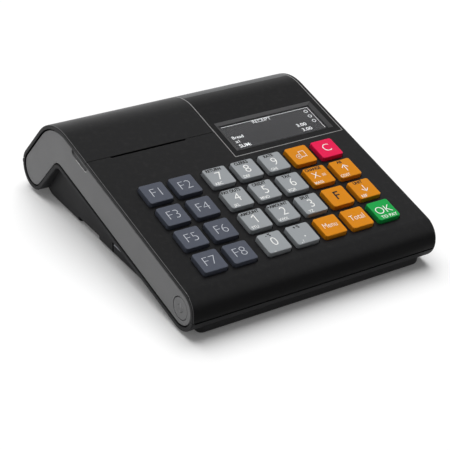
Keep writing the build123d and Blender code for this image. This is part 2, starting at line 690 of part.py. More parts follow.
with BuildPart() as lower_housing:
    add(outer_form.part)
    extrude(outline_face(lower_outline, -half_width), amount=body_width, mode=Mode.INTERSECT)
    # end walls stand full height behind the side panels
    with BuildPart(mode=Mode.PRIVATE) as end_walls:
        extrude(band_face(inner_radius - seam, -end_wall_outer), amount=2 * end_wall_outer)
    add(end_walls.part)
    add(base_form.part)
    add(base_hollow.part, mode=Mode.SUBTRACT)
    with BuildPart(mode=Mode.PRIVATE) as middle_hollow:
        extrude(band_face(inner_radius, -end_wall_inner), amount=2 * end_wall_inner)
    add(middle_hollow.part, mode=Mode.SUBTRACT)
    # recesses for the side panels
    for x_low in (-half_width, end_wall_outer):
        extrude(band_face(inner_radius, x_low), amount=half_width - end_wall_outer, mode=Mode.SUBTRACT)
    # groove that the lid's end swings in, then the fixed hinge barrel
    with BuildPart(mode=Mode.PRIVATE) as barrel:
        extrude(disc_face(hinge, hinge_depth, -half_width), amount=half_width + lid_right)
        for x_low in (-half_width, -end_wall_outer):
            extrude(band_face(inner_radius, -half_width), amount=half_width - end_wall_inner,
                    mode=Mode.SUBTRACT)
    with BuildPart(mode=Mode.PRIVATE) as groove:
        with BuildSketch(Plane.YZ.offset(-half_width)):
            with Locations(hinge):
                Circle(hinge_groove)
                Circle(hinge_depth, mode=Mode.SUBTRACT)
            with BuildLine():
                Polyline(hinge, shifted(hinge, (1, 0.3), 20), shifted(hinge, (0.56, -0.83), 20), close=True)
            make_face(mode=Mode.INTERSECT)
        extrude(amount=half_width + lid_right + seam)
    add(groove.part, mode=Mode.SUBTRACT)
    add(barrel.part)
    for low, high in knuckle_spans:
        extrude(disc_face(hinge, hinge_groove, low - 0.3), amount=high - low + 0.6, mode=Mode.SUBTRACT)
    extrude(disc_face(hinge, hinge_pin_radius, pin_left), amount=pin_right - pin_left, mode=Mode.SUBTRACT)
    # power button passage
    extrude(disc_face(nose, button_hole, -half_width), amount=half_width - end_wall_inner,
            mode=Mode.SUBTRACT)
    # cable notch in the bottom edge, with the floor carried over it
    notch_y = (notch_front + notch_back) / 2
    with BuildSketch(Plane.XY.offset(floor_top)):
        with Locations((-base_half + base_wall / 2, notch_y)):
            Rectangle(notch_depth + base_wall / 2, notch_back - notch_front + 2 * base_wall,
                      align=(Align.MIN, Align.CENTER))
    extrude(amount=notch_height)
    with BuildSketch(Plane.XY):
        with Locations((-half_width, notch_y)):
            Rectangle(base_inset + notch_depth, notch_back - notch_front,
                      align=(Align.MIN, Align.CENTER))
    extrude(amount=base_lift + notch_height, mode=Mode.SUBTRACT)
    # port flap opening
    add(port_piece(fit_gap, -half_width, flap_depth), mode=Mode.SUBTRACT)
    add(along_y(port_pivot[0], port_pivot[1], port_relief, port_front - fit_gap, port_back + fit_gap),
        mode=Mode.SUBTRACT)
    add(along_y(port_pivot[0], port_pivot[1], port_pin_radius + running_fit,
                port_front - fit_gap - port_pin_length, port_pin_end + fit_gap),
        mode=Mode.SUBTRACT)
    with BuildSketch(Plane.YZ.offset(-half_width)):
        with Locations((port_back, port_bottom - fit_gap)):
            Rectangle(port_finger_gap, port_gap_top - port_bottom + fit_gap, align=(Align.MIN, Align.MIN))
    extrude(amount=half_width + flap_depth, mode=Mode.SUBTRACT)
    # battery door opening with its ledge, and the ribs round the battery
    with BuildSketch(Plane.XY.offset(0)):
        with Locations((0, battery_y)):
            Rectangle(door_width + 2 * fit_gap, door_depth + 2 * fit_gap)
    extrude(amount=base_lift + door_thickness, mode=Mode.SUBTRACT)
    with BuildSketch(Plane.XY.offset(0)):
        with Locations((0, battery_y)):
            Rectangle(door_width - 2 * door_ledge, door_depth - 2 * door_ledge)
    extrude(amount=floor_top + 0.1, mode=Mode.SUBTRACT)
    with BuildSketch(Plane.XY.offset(floor_top)):
        with Locations((0, battery_y)):
            Rectangle(battery_width + 2 * fit_gap + 2 * rib, battery_depth + 2 * fit_gap + 2 * rib)
            Rectangle(battery_width + 2 * fit_gap, battery_depth + 2 * fit_gap, mode=Mode.SUBTRACT)
    extrude(amount=rib_height)
    # bosses of the main board and ribs under the paper bucket
    with BuildSketch(Plane.XY.offset(floor_top)):
        with Locations(*board_bosses):
            Circle(post_radius)
    extrude(amount=board_seat - floor_top)
    with BuildPart(mode=Mode.PRIVATE) as cradle:
        with BuildSketch(Plane.XY.offset(floor_top)):
            with Locations((slot_left + 10.0, bucket_y - 2.0), (slot_right - 10.0, bucket_y - 2.0)):
                Rectangle(rib, 22.0)
        extrude(amount=bucket_floor)
        extrude(disc_face((bucket_y, bucket_height), roll_radius + bucket_wall, -half_width),
                amount=body_width, mode=Mode.SUBTRACT)
    add(cradle.part)
    # screw posts with head pockets, and recesses for the feet
    with BuildSketch(Plane.XY.offset(floor_top)):
        with Locations(*posts):
            Circle(lower_post_radius)
    extrude(amount=post_seat - floor_top)
    with BuildSketch(Plane.XY.offset(0)):
        with Locations(*posts):
            Circle(screw_radius + 0.2)
    extrude(amount=post_seat, mode=Mode.SUBTRACT)
    with BuildSketch(Plane.XY.offset(0)):
        with Locations(*posts):
            Circle(screw_head_radius + 0.3)
    extrude(amount=base_lift + 2.0, mode=Mode.SUBTRACT)
    with BuildSketch(Plane.XY.offset(0)):
        with Locations(*feet):
            Circle(foot_radius)
    extrude(amount=base_lift + foot_recess, mode=Mode.SUBTRACT)
finish(lower_housing, "lower_housing")

# ---------------------------------------------------------------- port flap, battery, feet, screws
with BuildPart() as port_cover:
    add(port_piece(0.0, -half_width, flap_depth))
    add(along_y(port_pivot[0], port_pivot[1], port_barrel, port_front, port_back))
    add(along_y(port_pivot[0], port_pivot[1], port_pin_radius, port_front - port_pin_length, port_pin_end))
finish(port_cover, "port_cover")

with BuildPart() as battery_door:
    with BuildSketch(Plane.XY.offset(base_lift)):
        with Locations((0, battery_y)):
            RectangleRounded(door_width, door_depth, 1.5)
    extrude(amount=door_thickness)
finish(battery_door, "battery_door")

with BuildPart() as battery_pack:
    with BuildSketch(Plane.XY.offset(floor_top)):
        with Locations((0, battery_y)):
            RectangleRounded(battery_width, battery_depth, 2.0)
    extrude(amount=battery_height)
    fillet(battery_pack.faces().sort_by(Axis.Z)[-1].edges(), 1.5)
finish(battery_pack, "battery_pack")

with BuildPart() as rubber_feet:
    with BuildSketch(Plane.XY):
        with Locations(*feet):
            Circle(foot_radius)
    extrude(amount=base_lift + foot_recess)
    chamfer(rubber_feet.faces().sort_by(Axis.Z)[:len(feet)].edges(), 0.3)
finish(rubber_feet, "rubber_feet")

with BuildPart() as case_screws:
    with BuildSketch(Plane.XY.offset(base_lift + 0.3)):
        with Locations(*posts):
            Circle(screw_head_radius)
    extrude(amount=1.7)
    with BuildSketch(Plane.XY.offset(base_lift + 0.3)):
        with Locations(*posts):
            RegularPolygon(1.3, 6)
    extrude(amount=0.9, mode=Mode.SUBTRACT)
    with BuildSketch(Plane.XY.offset(base_lift + 2.0)):
        with Locations(*posts):
            Circle(screw_radius)
    extrude(amount=screw_length - 2.0)
finish(case_screws, "case_screws")

connector_width = 11.0
connector_length = 15.0
connector_height = 5.4
chip_height = 2.5
processor_side = 14.0
buzzer_radius = 5.0
port_quarter = (port_back - port_front) / 4
board_reach = main_board_right - main_board_left
with BuildPart() as main_board:
    with BuildSketch(Plane.XY.offset(board_seat)):
        with Locations(board_middle):
            Rectangle(board_reach, main_board_back - main_board_front)
    extrude(amount=board_thickness)
    # connectors behind the port flap hang below the board
    with BuildSketch(Plane.XY.offset(board_seat)):
        with Locations((main_board_left - 3.5, port_front + port_quarter),
                       (main_board_left - 3.5, port_back - port_quarter)):
            Rectangle(connector_length, connector_width, align=(Align.MIN, Align.CENTER))
    extrude(amount=-connector_height)
    with BuildSketch(Plane.XY.offset(board_seat + board_thickness)):
        with Locations((board_middle[0] - board_reach / 10, board_middle[1])):
            Rectangle(processor_side, processor_side)
        with Locations((board_middle[0] + board_reach / 6, board_middle[1] - 4.0)):
            Rectangle(processor_side + 4.0, processor_side - 4.0)
        with Locations((main_board_right - 22.0, board_middle[1])):
            Circle(buzzer_radius)
    extrude(amount=chip_height)
finish(main_board, "main_board")

# ---------------------------------------------------------------- side panels and power button
panel_edge_round = 0.4

with BuildPart() as right_side_panel:
    extrude(band_face(inner_radius - panel_gap, end_wall_outer), amount=panel_thickness)
    fillet(right_side_panel.faces().sort_by(Axis.X)[-1].edges(), panel_edge_round)
finish(right_side_panel, "right_side_panel")

scoop_start = lid_seam_s - 3.6
scoop_bottom = -wall - panel_gap - 3.6
scoop = [deck_point(scoop_start, 4.0), deck_point(scoop_start + 2.2, scoop_bottom + 1.2),
         deck_point(scoop_start + 3.6, scoop_bottom), deck_point(scoop_start + 20.0, scoop_bottom),
         deck_point(scoop_start + 21.8, scoop_bottom + 1.2), deck_point(scoop_start + 24.0, 4.0)]

with BuildPart() as left_side_panel:
    extrude(band_face(inner_radius - panel_gap, -end_wall_outer - panel_thickness), amount=panel_thickness)
    fillet(left_side_panel.faces().sort_by(Axis.X)[0].edges(), panel_edge_round)
    extrude(outline_face(scoop, -half_width), amount=panel_recess + 1.3, mode=Mode.SUBTRACT)
    extrude(disc_face(nose, button_radius + button_clearance, -half_width), amount=2 * panel_thickness,
            mode=Mode.SUBTRACT)
finish(left_side_panel, "left_side_panel")

flange_x = -end_wall_outer + fit_gap
with BuildPart() as power_button:
    extrude(disc_face(nose, button_radius, -end_wall_outer - panel_thickness),
            amount=panel_thickness + fit_gap)
    fillet(power_button.faces().sort_by(Axis.X)[0].edges(), panel_edge_round)
    extrude(disc_face(nose, button_radius + button_flange, flange_x), amount=button_flange_thickness)
finish(power_button, "power_button")

# ---------------------------------------------------------------- printer
def turned(point, angle):
    return (point[0] * cos(angle) - point[1] * sin(angle), point[0] * sin(angle) + point[1] * cos(angle))


def gear_face(centre, teeth, phase, bore):
    """Spur gear outline with straight-flanked teeth, one tooth pointing at phase degrees."""
    pitch = gear_module * teeth / 2
    root = pitch - 1.2 * gear_module
    tip = pitch + 0.9 * gear_module
    half_tooth = pi * gear_module / 4 - 0.06
    slope = tan(radians(20.0))
    tip_half = half_tooth - 0.9 * gear_module * slope
    root_half = half_tooth + 1.2 * gear_module * slope
    tooth = [(root - 0.1, -root_half), (pitch, -half_tooth), (tip, -tip_half),
             (tip, tip_half), (pitch, half_tooth), (root - 0.1, root_half)]
    with BuildSketch(Plane.YZ.offset(gear_left)) as face:
        with Locations(centre):
            Circle(root)
            for i in range(teeth):
                angle = radians(phase + 360.0 * i / teeth)
                Polygon(*[turned(point, angle) for point in tooth], align=None)
            Circle(bore, mode=Mode.SUBTRACT)
    return face.sketch


def direction_degrees(start, end):
    return degrees(atan((end[1] - start[1]) / (end[0] - start[0]))) + (180.0 if end[0] < start[0] else 0.0)


to_idler = direction_degrees(platen, idler)
to_motor = direction_degrees(idler, motor)
idler_phase = to_idler + 180.0 + 180.0 / idler_teeth
idler_offset = (idler_phase - to_motor) * idler_teeth / 360.0
motor_phase = to_motor + 180.0 + (-idler_offset - 0.5) * 360.0 / pinion_teeth

with BuildPart() as platen_shaft:
    extrude(disc_face(platen, platen_shaft_radius, gear_left), amount=shaft_right - gear_left)
    chamfer(platen_shaft.faces().filter_by(Axis.X).edges(), 0.25)
finish(platen_shaft, "platen_shaft")

with BuildPart() as platen_roller:
    extrude(disc_face(platen, platen_radius, roller_left), amount=roller_right - roller_left)
    fillet(platen_roller.faces().filter_by(Axis.X).edges(), 0.3)
    extrude(disc_face(platen, platen_shaft_radius, roller_left), amount=roller_right - roller_left,
            mode=Mode.SUBTRACT)
finish(platen_roller, "platen_roller")

with BuildPart() as platen_gear:
    extrude(gear_face(platen, platen_teeth, to_idler, platen_shaft_radius), amount=gear_width)
finish(platen_gear, "platen_gear")

with BuildPart() as idler_gear:
    extrude(gear_face(idler, idler_teeth, idler_phase, idler_pin_radius + running_fit), amount=gear_width)
finish(idler_gear, "idler_gear")

cheek_inner = left_cheek + cheek_thickness
with BuildPart() as motor_pinion:
    extrude(gear_face(motor, pinion_teeth, motor_phase, motor_shaft_radius / 2), amount=gear_width)
    extrude(disc_face(motor, motor_shaft_radius, gear_left), amount=cheek_inner + 2.0 - gear_left)
finish(motor_pinion, "motor_pinion")

with BuildPart() as stepper_motor:
    extrude(disc_face(motor, motor_radius, cheek_inner), amount=motor_length)
    fillet(stepper_motor.faces().filter_by(Axis.X).edges(), 0.6)
    extrude(disc_face(motor, motor_shaft_radius + running_fit, cheek_inner), amount=3.0,
            mode=Mode.SUBTRACT)
finish(stepper_motor, "stepper_motor")

head_face_s = lid_seam_s + platen_setback - platen_radius - fit_gap
head_back_s = head_face_s - head_thickness
head_bottom = head_top + head_height
plate_thickness = 1.8
frame_front_s = hanger_s - 4.5
flange_bottom_n = flange_n + plate_thickness
notch_half = platen_shaft_radius + fit_gap + 0.05
notch_side = (-release[1], release[0])
shaft_notch = [shifted(platen, notch_side, notch_half),
               shifted(shifted(platen, notch_side, notch_half), release, 30.0),
               shifted(shifted(platen, notch_side, -notch_half), release, 30.0),
               shifted(platen, notch_side, -notch_half)]
cheek = [deck_point(frame_front_s, -flange_n), deck_point(head_back_s - plate_thickness, -head_top),
         deck_point(lid_seam_s + cheek_back, -head_top), deck_point(lid_seam_s + cheek_back, -cheek_step),
         deck_point(lid_seam_s + cheek_back - 3.5, -cheek_depth + 2.4),
         deck_point(lid_seam_s + cheek_back - 15.0, -cheek_depth),
         deck_point(frame_front_s + 5.5, -cheek_depth), deck_point(frame_front_s, -cheek_depth + 5.0)]

with BuildPart() as printer_frame:
    for cheek_x in (left_cheek, right_cheek - cheek_thickness):
        extrude(outline_face(cheek, cheek_x), amount=cheek_thickness)
        extrude(disc_face(platen, notch_half, cheek_x), amount=cheek_thickness, mode=Mode.SUBTRACT)
        extrude(outline_face(shaft_notch, cheek_x), amount=cheek_thickness, mode=Mode.SUBTRACT)
    # flange that hangs on the upper housing, and the plate behind the thermal head
    extrude(outline_face([deck_point(frame_front_s, -flange_n), deck_point(head_back_s, -flange_n),
                          deck_point(head_back_s, -flange_bottom_n),
                          deck_point(frame_front_s, -flange_bottom_n)], left_cheek),
            amount=right_cheek - left_cheek)
    extrude(outline_face([deck_point(head_back_s - plate_thickness, -head_top), deck_point(head_back_s, -head_top),
                          deck_point(head_back_s, -head_bottom),
                          deck_point(head_back_s - plate_thickness, -head_bottom)], left_cheek),
            amount=right_cheek - left_cheek)
    # idler pin on the left cheek, and the passage for the motor's shaft
    extrude(disc_face(idler, idler_pin_radius, gear_left), amount=left_cheek - gear_left)
    extrude(disc_face(motor, motor_shaft_radius + 0.4, left_cheek), amount=cheek_thickness,
            mode=Mode.SUBTRACT)
finish(printer_frame, "printer_frame")

with BuildPart() as thermal_head:
    extrude(outline_face([deck_point(head_back_s, -head_top), deck_point(head_face_s, -head_top),
                          deck_point(head_face_s, -head_bottom), deck_point(head_back_s, -head_bottom)],
                         slot_left), amount=slot_width)
finish(thermal_head, "thermal_head")

bar_teeth = 38
tooth_pitch = slot_width / bar_teeth
with BuildPart() as tear_bar:
    with BuildSketch(Plane(origin=(0, *deck_point(slot_s, 0.0)), x_dir=(1, 0, 0),
                           z_dir=(0, -along[0], -along[1]))):
        with BuildLine():
            Polyline((slot_left, -head_top + 0.5), (slot_left, -1.1),
                     *[(slot_left + (i + 0.5) * tooth_pitch, -0.3 if i % 2 == 0 else -1.1)
                       for i in range(bar_teeth)],
                     (slot_right, -1.1), (slot_right, -head_top + 0.5), close=True)
        make_face()
    extrude(amount=bar_thickness)
finish(tear_bar, "tear_bar")

bucket_top = 42.0
bucket_left = left_ear
bucket_right = right_ear + ear_thickness
bucket_outer = roll_radius + bucket_wall
with BuildPart() as paper_bucket:
    extrude(disc_face((bucket_y, bucket_height), bucket_outer, bucket_left),
            amount=bucket_right - bucket_left)
    extrude(outline_face([(bucket_y - bucket_outer, bucket_height), (bucket_y + bucket_outer, bucket_height),
                          (bucket_y + bucket_outer, bucket_top), (bucket_y - bucket_outer, bucket_top)],
                         bucket_left), amount=bucket_right - bucket_left)
    extrude(outline_face([(bucket_y - far, bucket_top), (bucket_y + far, bucket_top),
                          (bucket_y + far, far), (bucket_y - far, far)], bucket_left),
            amount=bucket_right - bucket_left, mode=Mode.SUBTRACT)
    extrude(disc_face((bucket_y, bucket_height), roll_radius, bucket_left + bucket_wall),
            amount=bucket_right - bucket_left - 2 * bucket_wall, mode=Mode.SUBTRACT)
    extrude(outline_face([(bucket_y - roll_radius, bucket_height), (bucket_y + roll_radius, bucket_height),
                          (bucket_y + roll_radius, far), (bucket_y - roll_radius, far)],
                         bucket_left + bucket_wall), amount=bucket_right - bucket_left - 2 * bucket_wall,
            mode=Mode.SUBTRACT)
finish(paper_bucket, "paper_bucket")
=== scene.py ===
import bpy
import bmesh
from math import cos, pi, radians, sin
from mathutils import Matrix, Vector


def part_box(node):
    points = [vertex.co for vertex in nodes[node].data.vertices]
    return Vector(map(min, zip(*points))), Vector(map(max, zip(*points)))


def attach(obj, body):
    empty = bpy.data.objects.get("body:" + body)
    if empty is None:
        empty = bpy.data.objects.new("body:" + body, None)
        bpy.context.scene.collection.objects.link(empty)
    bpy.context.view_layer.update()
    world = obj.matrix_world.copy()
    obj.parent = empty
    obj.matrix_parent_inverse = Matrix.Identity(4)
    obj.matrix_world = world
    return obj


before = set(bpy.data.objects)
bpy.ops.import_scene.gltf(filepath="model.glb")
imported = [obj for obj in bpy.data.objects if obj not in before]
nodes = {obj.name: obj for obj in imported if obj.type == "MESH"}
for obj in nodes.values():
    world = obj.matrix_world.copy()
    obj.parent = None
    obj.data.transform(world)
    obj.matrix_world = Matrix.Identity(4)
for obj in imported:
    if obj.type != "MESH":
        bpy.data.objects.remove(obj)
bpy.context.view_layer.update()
scene = bpy.context.scene
mm = 0.001

# The keyboard deck and the back slope, as the solids have them.
deck = {"noseY": -91.819 * mm, "noseZ": 16.9 * mm, "radius": 14.6 * mm, "slope": radians(12.5)}
backSlope = {"startY": 73.374 * mm, "startZ": 41.399 * mm, "slope": radians(52.5)}
keys = {
    "top": 2.9 * mm, "pitchX": 22.0, "pitchS": 21.5, "functionX": -68.65, "numberX": -20.65, "firstS": 14.35,
    "functionColumns": 2,
    "rows": [["f7", "f8", "0", "dot", "menu", "total", "ok"], ["f5", "f6", "1", "2", "3", "function", "down"],
             ["f3", "f4", "4", "5", "6", "multiply", "up"], ["f1", "f2", "7", "8", "9", "receipt", "clear"]],
}


# Matrix of a spot on the deck: x and s in mm, n in metres above it.
def deckPlace(x, s, n):
    a = deck["slope"]
    y = deck["noseY"] + s * mm * cos(a) - (deck["radius"] + n) * sin(a)
    z = deck["noseZ"] + s * mm * sin(a) + (deck["radius"] + n) * cos(a)
    return Matrix.Translation((x * mm, y, z)) @ Matrix.Rotation(a, 4, "X")


print("stage: frame loaded", len(nodes), "nodes")


def colour(r, g, b):
    def part(c):
        c = c / 255.0
        return c / 12.92 if c <= 0.04045 else ((c + 0.055) / 1.055) ** 2.4
    return (part(r), part(g), part(b), 1.0)


# Small helpers for node trees.
def addNode(tree, kind, x, y, **settings):
    node = tree.nodes.new(kind)
    node.location = (x, y)
    for key, value in settings.items():
        setattr(node, key, value)
    return node


def newGroup(name, inputs, outputs):
    group = bpy.data.node_groups.new(name, "ShaderNodeTree")
    for label, kind, value in inputs:
        socket = group.interface.new_socket(name=label, in_out="INPUT", socket_type=kind)
        socket.default_value = value
    for label, kind in outputs:
        group.interface.new_socket(name=label, in_out="OUTPUT", socket_type=kind)
    return group, addNode(group, "NodeGroupInput", -900, 0), addNode(group, "NodeGroupOutput", 700, 0)


# Fine spark-eroded grain of moulded plastic: a height and a gloss mask.
grainLook = {"fineDetail": 3.0, "broadDetail": 2.0, "cellShare": 0.6, "glossFrom": 0.3, "glossTo": 0.7}


def makeMouldGrain():
    group, source, sink = newGroup("mouldGrain", [("Scale", "NodeSocketFloat", 1500.0),
                                                  ("Blotch Scale", "NodeSocketFloat", 60.0)],
                                   [("Height", "NodeSocketFloat"), ("Gloss Mask", "NodeSocketFloat")])
    place = addNode(group, "ShaderNodeTexCoord", -900, -300)
    cells = addNode(group, "ShaderNodeTexVoronoi", -600, 100)
    fine = addNode(group, "ShaderNodeTexNoise", -600, -150)
    broad = addNode(group, "ShaderNodeTexNoise", -600, -400)
    fine.inputs["Detail"].default_value = grainLook["fineDetail"]
    broad.inputs["Detail"].default_value = grainLook["broadDetail"]
    mix = addNode(group, "ShaderNodeMath", -300, 50, operation="MULTIPLY_ADD")
    mix.inputs[1].default_value = grainLook["cellShare"]
    gloss = addNode(group, "ShaderNodeMapRange", -300, -300)
    gloss.inputs["From Min"].default_value = grainLook["glossFrom"]
    gloss.inputs["From Max"].default_value = grainLook["glossTo"]
    for target in (cells, fine, broad):
        group.links.new(place.outputs["Object"], target.inputs["Vector"])
    group.links.new(source.outputs["Scale"], cells.inputs["Scale"])
    group.links.new(source.outputs["Scale"], fine.inputs["Scale"])
    group.links.new(source.outputs["Blotch Scale"], broad.inputs["Scale"])
    group.links.new(cells.outputs["Distance"], mix.inputs[0])
    group.links.new(fine.outputs["Fac"], mix.inputs[2])
    group.links.new(broad.outputs["Fac"], gloss.inputs["Value"])
    group.links.new(mix.outputs[0], sink.inputs["Height"])
    group.links.new(gloss.outputs["Result"], sink.inputs["Gloss Mask"])
    return group


# Slow change of tone over a surface, with a finer speckle in it; noise swings about its middle.
driftLook = {"speckleScale": 2600.0, "middle": 0.5}


def makeToneDrift():
    group, source, sink = newGroup("toneDrift", [("Color", "NodeSocketColor", (0.5, 0.5, 0.5, 1)),
                                                 ("Amount", "NodeSocketFloat", 0.1),
                                                 ("Scale", "NodeSocketFloat", 25.0),
                                                 ("Speckle", "NodeSocketFloat", 0.05)],
                                   [("Color", "NodeSocketColor")])
    place = addNode(group, "ShaderNodeTexCoord", -900, -300)
    slow = addNode(group, "ShaderNodeTexNoise", -650, 0)
    quick = addNode(group, "ShaderNodeTexNoise", -650, -250)
    quick.inputs["Scale"].default_value = driftLook["speckleScale"]
    swing = addNode(group, "ShaderNodeMath", -450, 0, operation="SUBTRACT")
    swing.inputs[1].default_value = driftLook["middle"]
    jitter = addNode(group, "ShaderNodeMath", -450, -250, operation="SUBTRACT")
    jitter.inputs[1].default_value = driftLook["middle"]
    slowPart = addNode(group, "ShaderNodeMath", -250, 0, operation="MULTIPLY")
    quickPart = addNode(group, "ShaderNodeMath", -250, -250, operation="MULTIPLY")
    total = addNode(group, "ShaderNodeMath", -60, -100, operation="ADD")
    factor = addNode(group, "ShaderNodeMath", 120, -100, operation="ADD")
    factor.inputs[1].default_value = 1.0
    tint = addNode(group, "ShaderNodeVectorMath", 320, 0, operation="SCALE")
    for target in (slow, quick):
        group.links.new(place.outputs["Object"], target.inputs["Vector"])
    group.links.new(source.outputs["Scale"], slow.inputs["Scale"])
    group.links.new(slow.outputs["Fac"], swing.inputs[0])
    group.links.new(quick.outputs["Fac"], jitter.inputs[0])
    group.links.new(swing.outputs[0], slowPart.inputs[0])
    group.links.new(source.outputs["Amount"], slowPart.inputs[1])
    group.links.new(jitter.outputs[0], quickPart.inputs[0])
    group.links.new(source.outputs["Speckle"], quickPart.inputs[1])
    group.links.new(slowPart.outputs[0], total.inputs[0])
    group.links.new(quickPart.outputs[0], total.inputs[1])
    group.links.new(total.outputs[0], factor.inputs[0])
    group.links.new(source.outputs["Color"], tint.inputs[0])
    group.links.new(factor.outputs[0], tint.inputs["Scale"])
    group.links.new(tint.outputs[0], sink.inputs["Color"])
    return group


# Edges rubbed by wear and given a painted highlight: where the rounded normal leaves the true one.
edgeWearGlintLook = {"samples": 4, "patchScale": 220.0, "patchFrom": 0.35, "patchTo": 0.65}


def makeEdgeWearGlint():
    group, source, sink = newGroup("edgeRub", [("Radius", "NodeSocketFloat", 0.0004),
                                               ("Gain", "NodeSocketFloat", 3.0),
                                               ("Patchiness", "NodeSocketFloat", 0.5)],
                                   [("Mask", "NodeSocketFloat"), ("Soft Normal", "NodeSocketVector")])
    rounded = addNode(group, "ShaderNodeBevel", -650, 0, samples=edgeWearGlintLook["samples"])
    true = addNode(group, "ShaderNodeNewGeometry", -650, -200)
    place = addNode(group, "ShaderNodeTexCoord", -900, -400)
    patch = addNode(group, "ShaderNodeTexNoise", -650, -450)
    patch.inputs["Scale"].default_value = edgeWearGlintLook["patchScale"]
    dot = addNode(group, "ShaderNodeVectorMath", -450, 0, operation="DOT_PRODUCT")
    lost = addNode(group, "ShaderNodeMath", -270, 0, operation="SUBTRACT")
    lost.inputs[0].default_value = 1.0
    gained = addNode(group, "ShaderNodeMath", -100, 0, operation="MULTIPLY", use_clamp=True)
    span = addNode(group, "ShaderNodeMapRange", -270, -400)
    span.inputs["From Min"].default_value = edgeWearGlintLook["patchFrom"]
    span.inputs["From Max"].default_value = edgeWearGlintLook["patchTo"]
    untouched = addNode(group, "ShaderNodeMath", -450, -650, operation="SUBTRACT")
    untouched.inputs[0].default_value = 1.0
    result = addNode(group, "ShaderNodeMath", 120, 0, operation="MULTIPLY", use_clamp=True)
    group.links.new(source.outputs["Radius"], rounded.inputs["Radius"])
    group.links.new(rounded.outputs["Normal"], dot.inputs[0])
    group.links.new(true.outputs["True Normal"], dot.inputs[1])
    group.links.new(dot.outputs["Value"], lost.inputs[1])
    group.links.new(lost.outputs[0], gained.inputs[0])
    group.links.new(source.outputs["Gain"], gained.inputs[1])
    group.links.new(place.outputs["Object"], patch.inputs["Vector"])
    group.links.new(patch.outputs["Fac"], span.inputs["Value"])
    group.links.new(source.outputs["Patchiness"], untouched.inputs[1])
    group.links.new(untouched.outputs[0], span.inputs["To Min"])
    group.links.new(gained.outputs[0], result.inputs[0])
    group.links.new(span.outputs["Result"], result.inputs[1])
    group.links.new(result.outputs[0], sink.inputs["Mask"])
    group.links.new(rounded.outputs["Normal"], sink.inputs["Soft Normal"])
    return group


# Dust that settles on faces that look up.
dustLook = {"detail": 6.0, "from": 0.5, "to": 0.75}


def makeSettledDust():
    group, source, sink = newGroup("settledDust", [("Amount", "NodeSocketFloat", 0.05),
                                                   ("Scale", "NodeSocketFloat", 300.0)],
                                   [("Mask", "NodeSocketFloat")])
    facing = addNode(group, "ShaderNodeNewGeometry", -700, 100)
    split = addNode(group, "ShaderNodeSeparateXYZ", -500, 100)
    up = addNode(group, "ShaderNodeMath", -320, 100, operation="MAXIMUM")
    up.inputs[1].default_value = 0.0
    place = addNode(group, "ShaderNodeTexCoord", -900, -200)
    specks = addNode(group, "ShaderNodeTexNoise", -600, -200)
    specks.inputs["Detail"].default_value = dustLook["detail"]
    cut = addNode(group, "ShaderNodeMapRange", -350, -200)
    cut.inputs["From Min"].default_value = dustLook["from"]
    cut.inputs["From Max"].default_value = dustLook["to"]
    both = addNode(group, "ShaderNodeMath", -100, 0, operation="MULTIPLY")
    scaled = addNode(group, "ShaderNodeMath", 100, 0, operation="MULTIPLY", use_clamp=True)
    group.links.new(facing.outputs["Normal"], split.inputs[0])
    group.links.new(split.outputs["Z"], up.inputs[0])
    group.links.new(place.outputs["Object"], specks.inputs["Vector"])
    group.links.new(source.outputs["Scale"], specks.inputs["Scale"])
    group.links.new(specks.outputs["Fac"], cut.inputs["Value"])
    group.links.new(up.outputs[0], both.inputs[0])
    group.links.new(cut.outputs["Result"], both.inputs[1])
    group.links.new(both.outputs[0], scaled.inputs[0])
    group.links.new(source.outputs["Amount"], scaled.inputs[1])
    group.links.new(scaled.outputs[0], sink.inputs["Mask"])
    return group


# Painted highlight along the rounded ends of the skins: faces whose sideways share lies in a band.
endHighlightLook = {"rise": (0.15, 0.32), "fall": (0.66, 0.46)}


def makeEndHighlight():
    group, source, sink = newGroup("endWear", [("Amount", "NodeSocketFloat", 0.5)],
                                   [("Mask", "NodeSocketFloat")])
    facing = addNode(group, "ShaderNodeNewGeometry", -800, 0)
    split = addNode(group, "ShaderNodeSeparateXYZ", -620, 0)
    sideways = addNode(group, "ShaderNodeMath", -440, 0, operation="ABSOLUTE")
    rise = addNode(group, "ShaderNodeMapRange", -250, 120, interpolation_type="SMOOTHSTEP")
    fall = addNode(group, "ShaderNodeMapRange", -250, -160, interpolation_type="SMOOTHSTEP")
    for node, key in ((rise, "rise"), (fall, "fall")):
        node.inputs["From Min"].default_value, node.inputs["From Max"].default_value = endHighlightLook[key]
        group.links.new(sideways.outputs[0], node.inputs["Value"])
    both = addNode(group, "ShaderNodeMath", 0, 0, operation="MULTIPLY")
    scaled = addNode(group, "ShaderNodeMath", 200, 0, operation="MULTIPLY", use_clamp=True)
    group.links.new(facing.outputs["Normal"], split.inputs[0])
    group.links.new(split.outputs["X"], sideways.inputs[0])
    group.links.new(rise.outputs["Result"], both.inputs[0])
    group.links.new(fall.outputs["Result"], both.inputs[1])
    group.links.new(both.outputs[0], scaled.inputs[0])
    group.links.new(source.outputs["Amount"], scaled.inputs[1])
    group.links.new(scaled.outputs[0], sink.inputs["Mask"])
    return group


# Painted light on the bevels around a window, lifting their shade: faces that lean to the front or, by a
# smaller share, to a side.
bevelLightLook = {"side": (0.12, 0.3), "front": (-0.32, -0.5)}


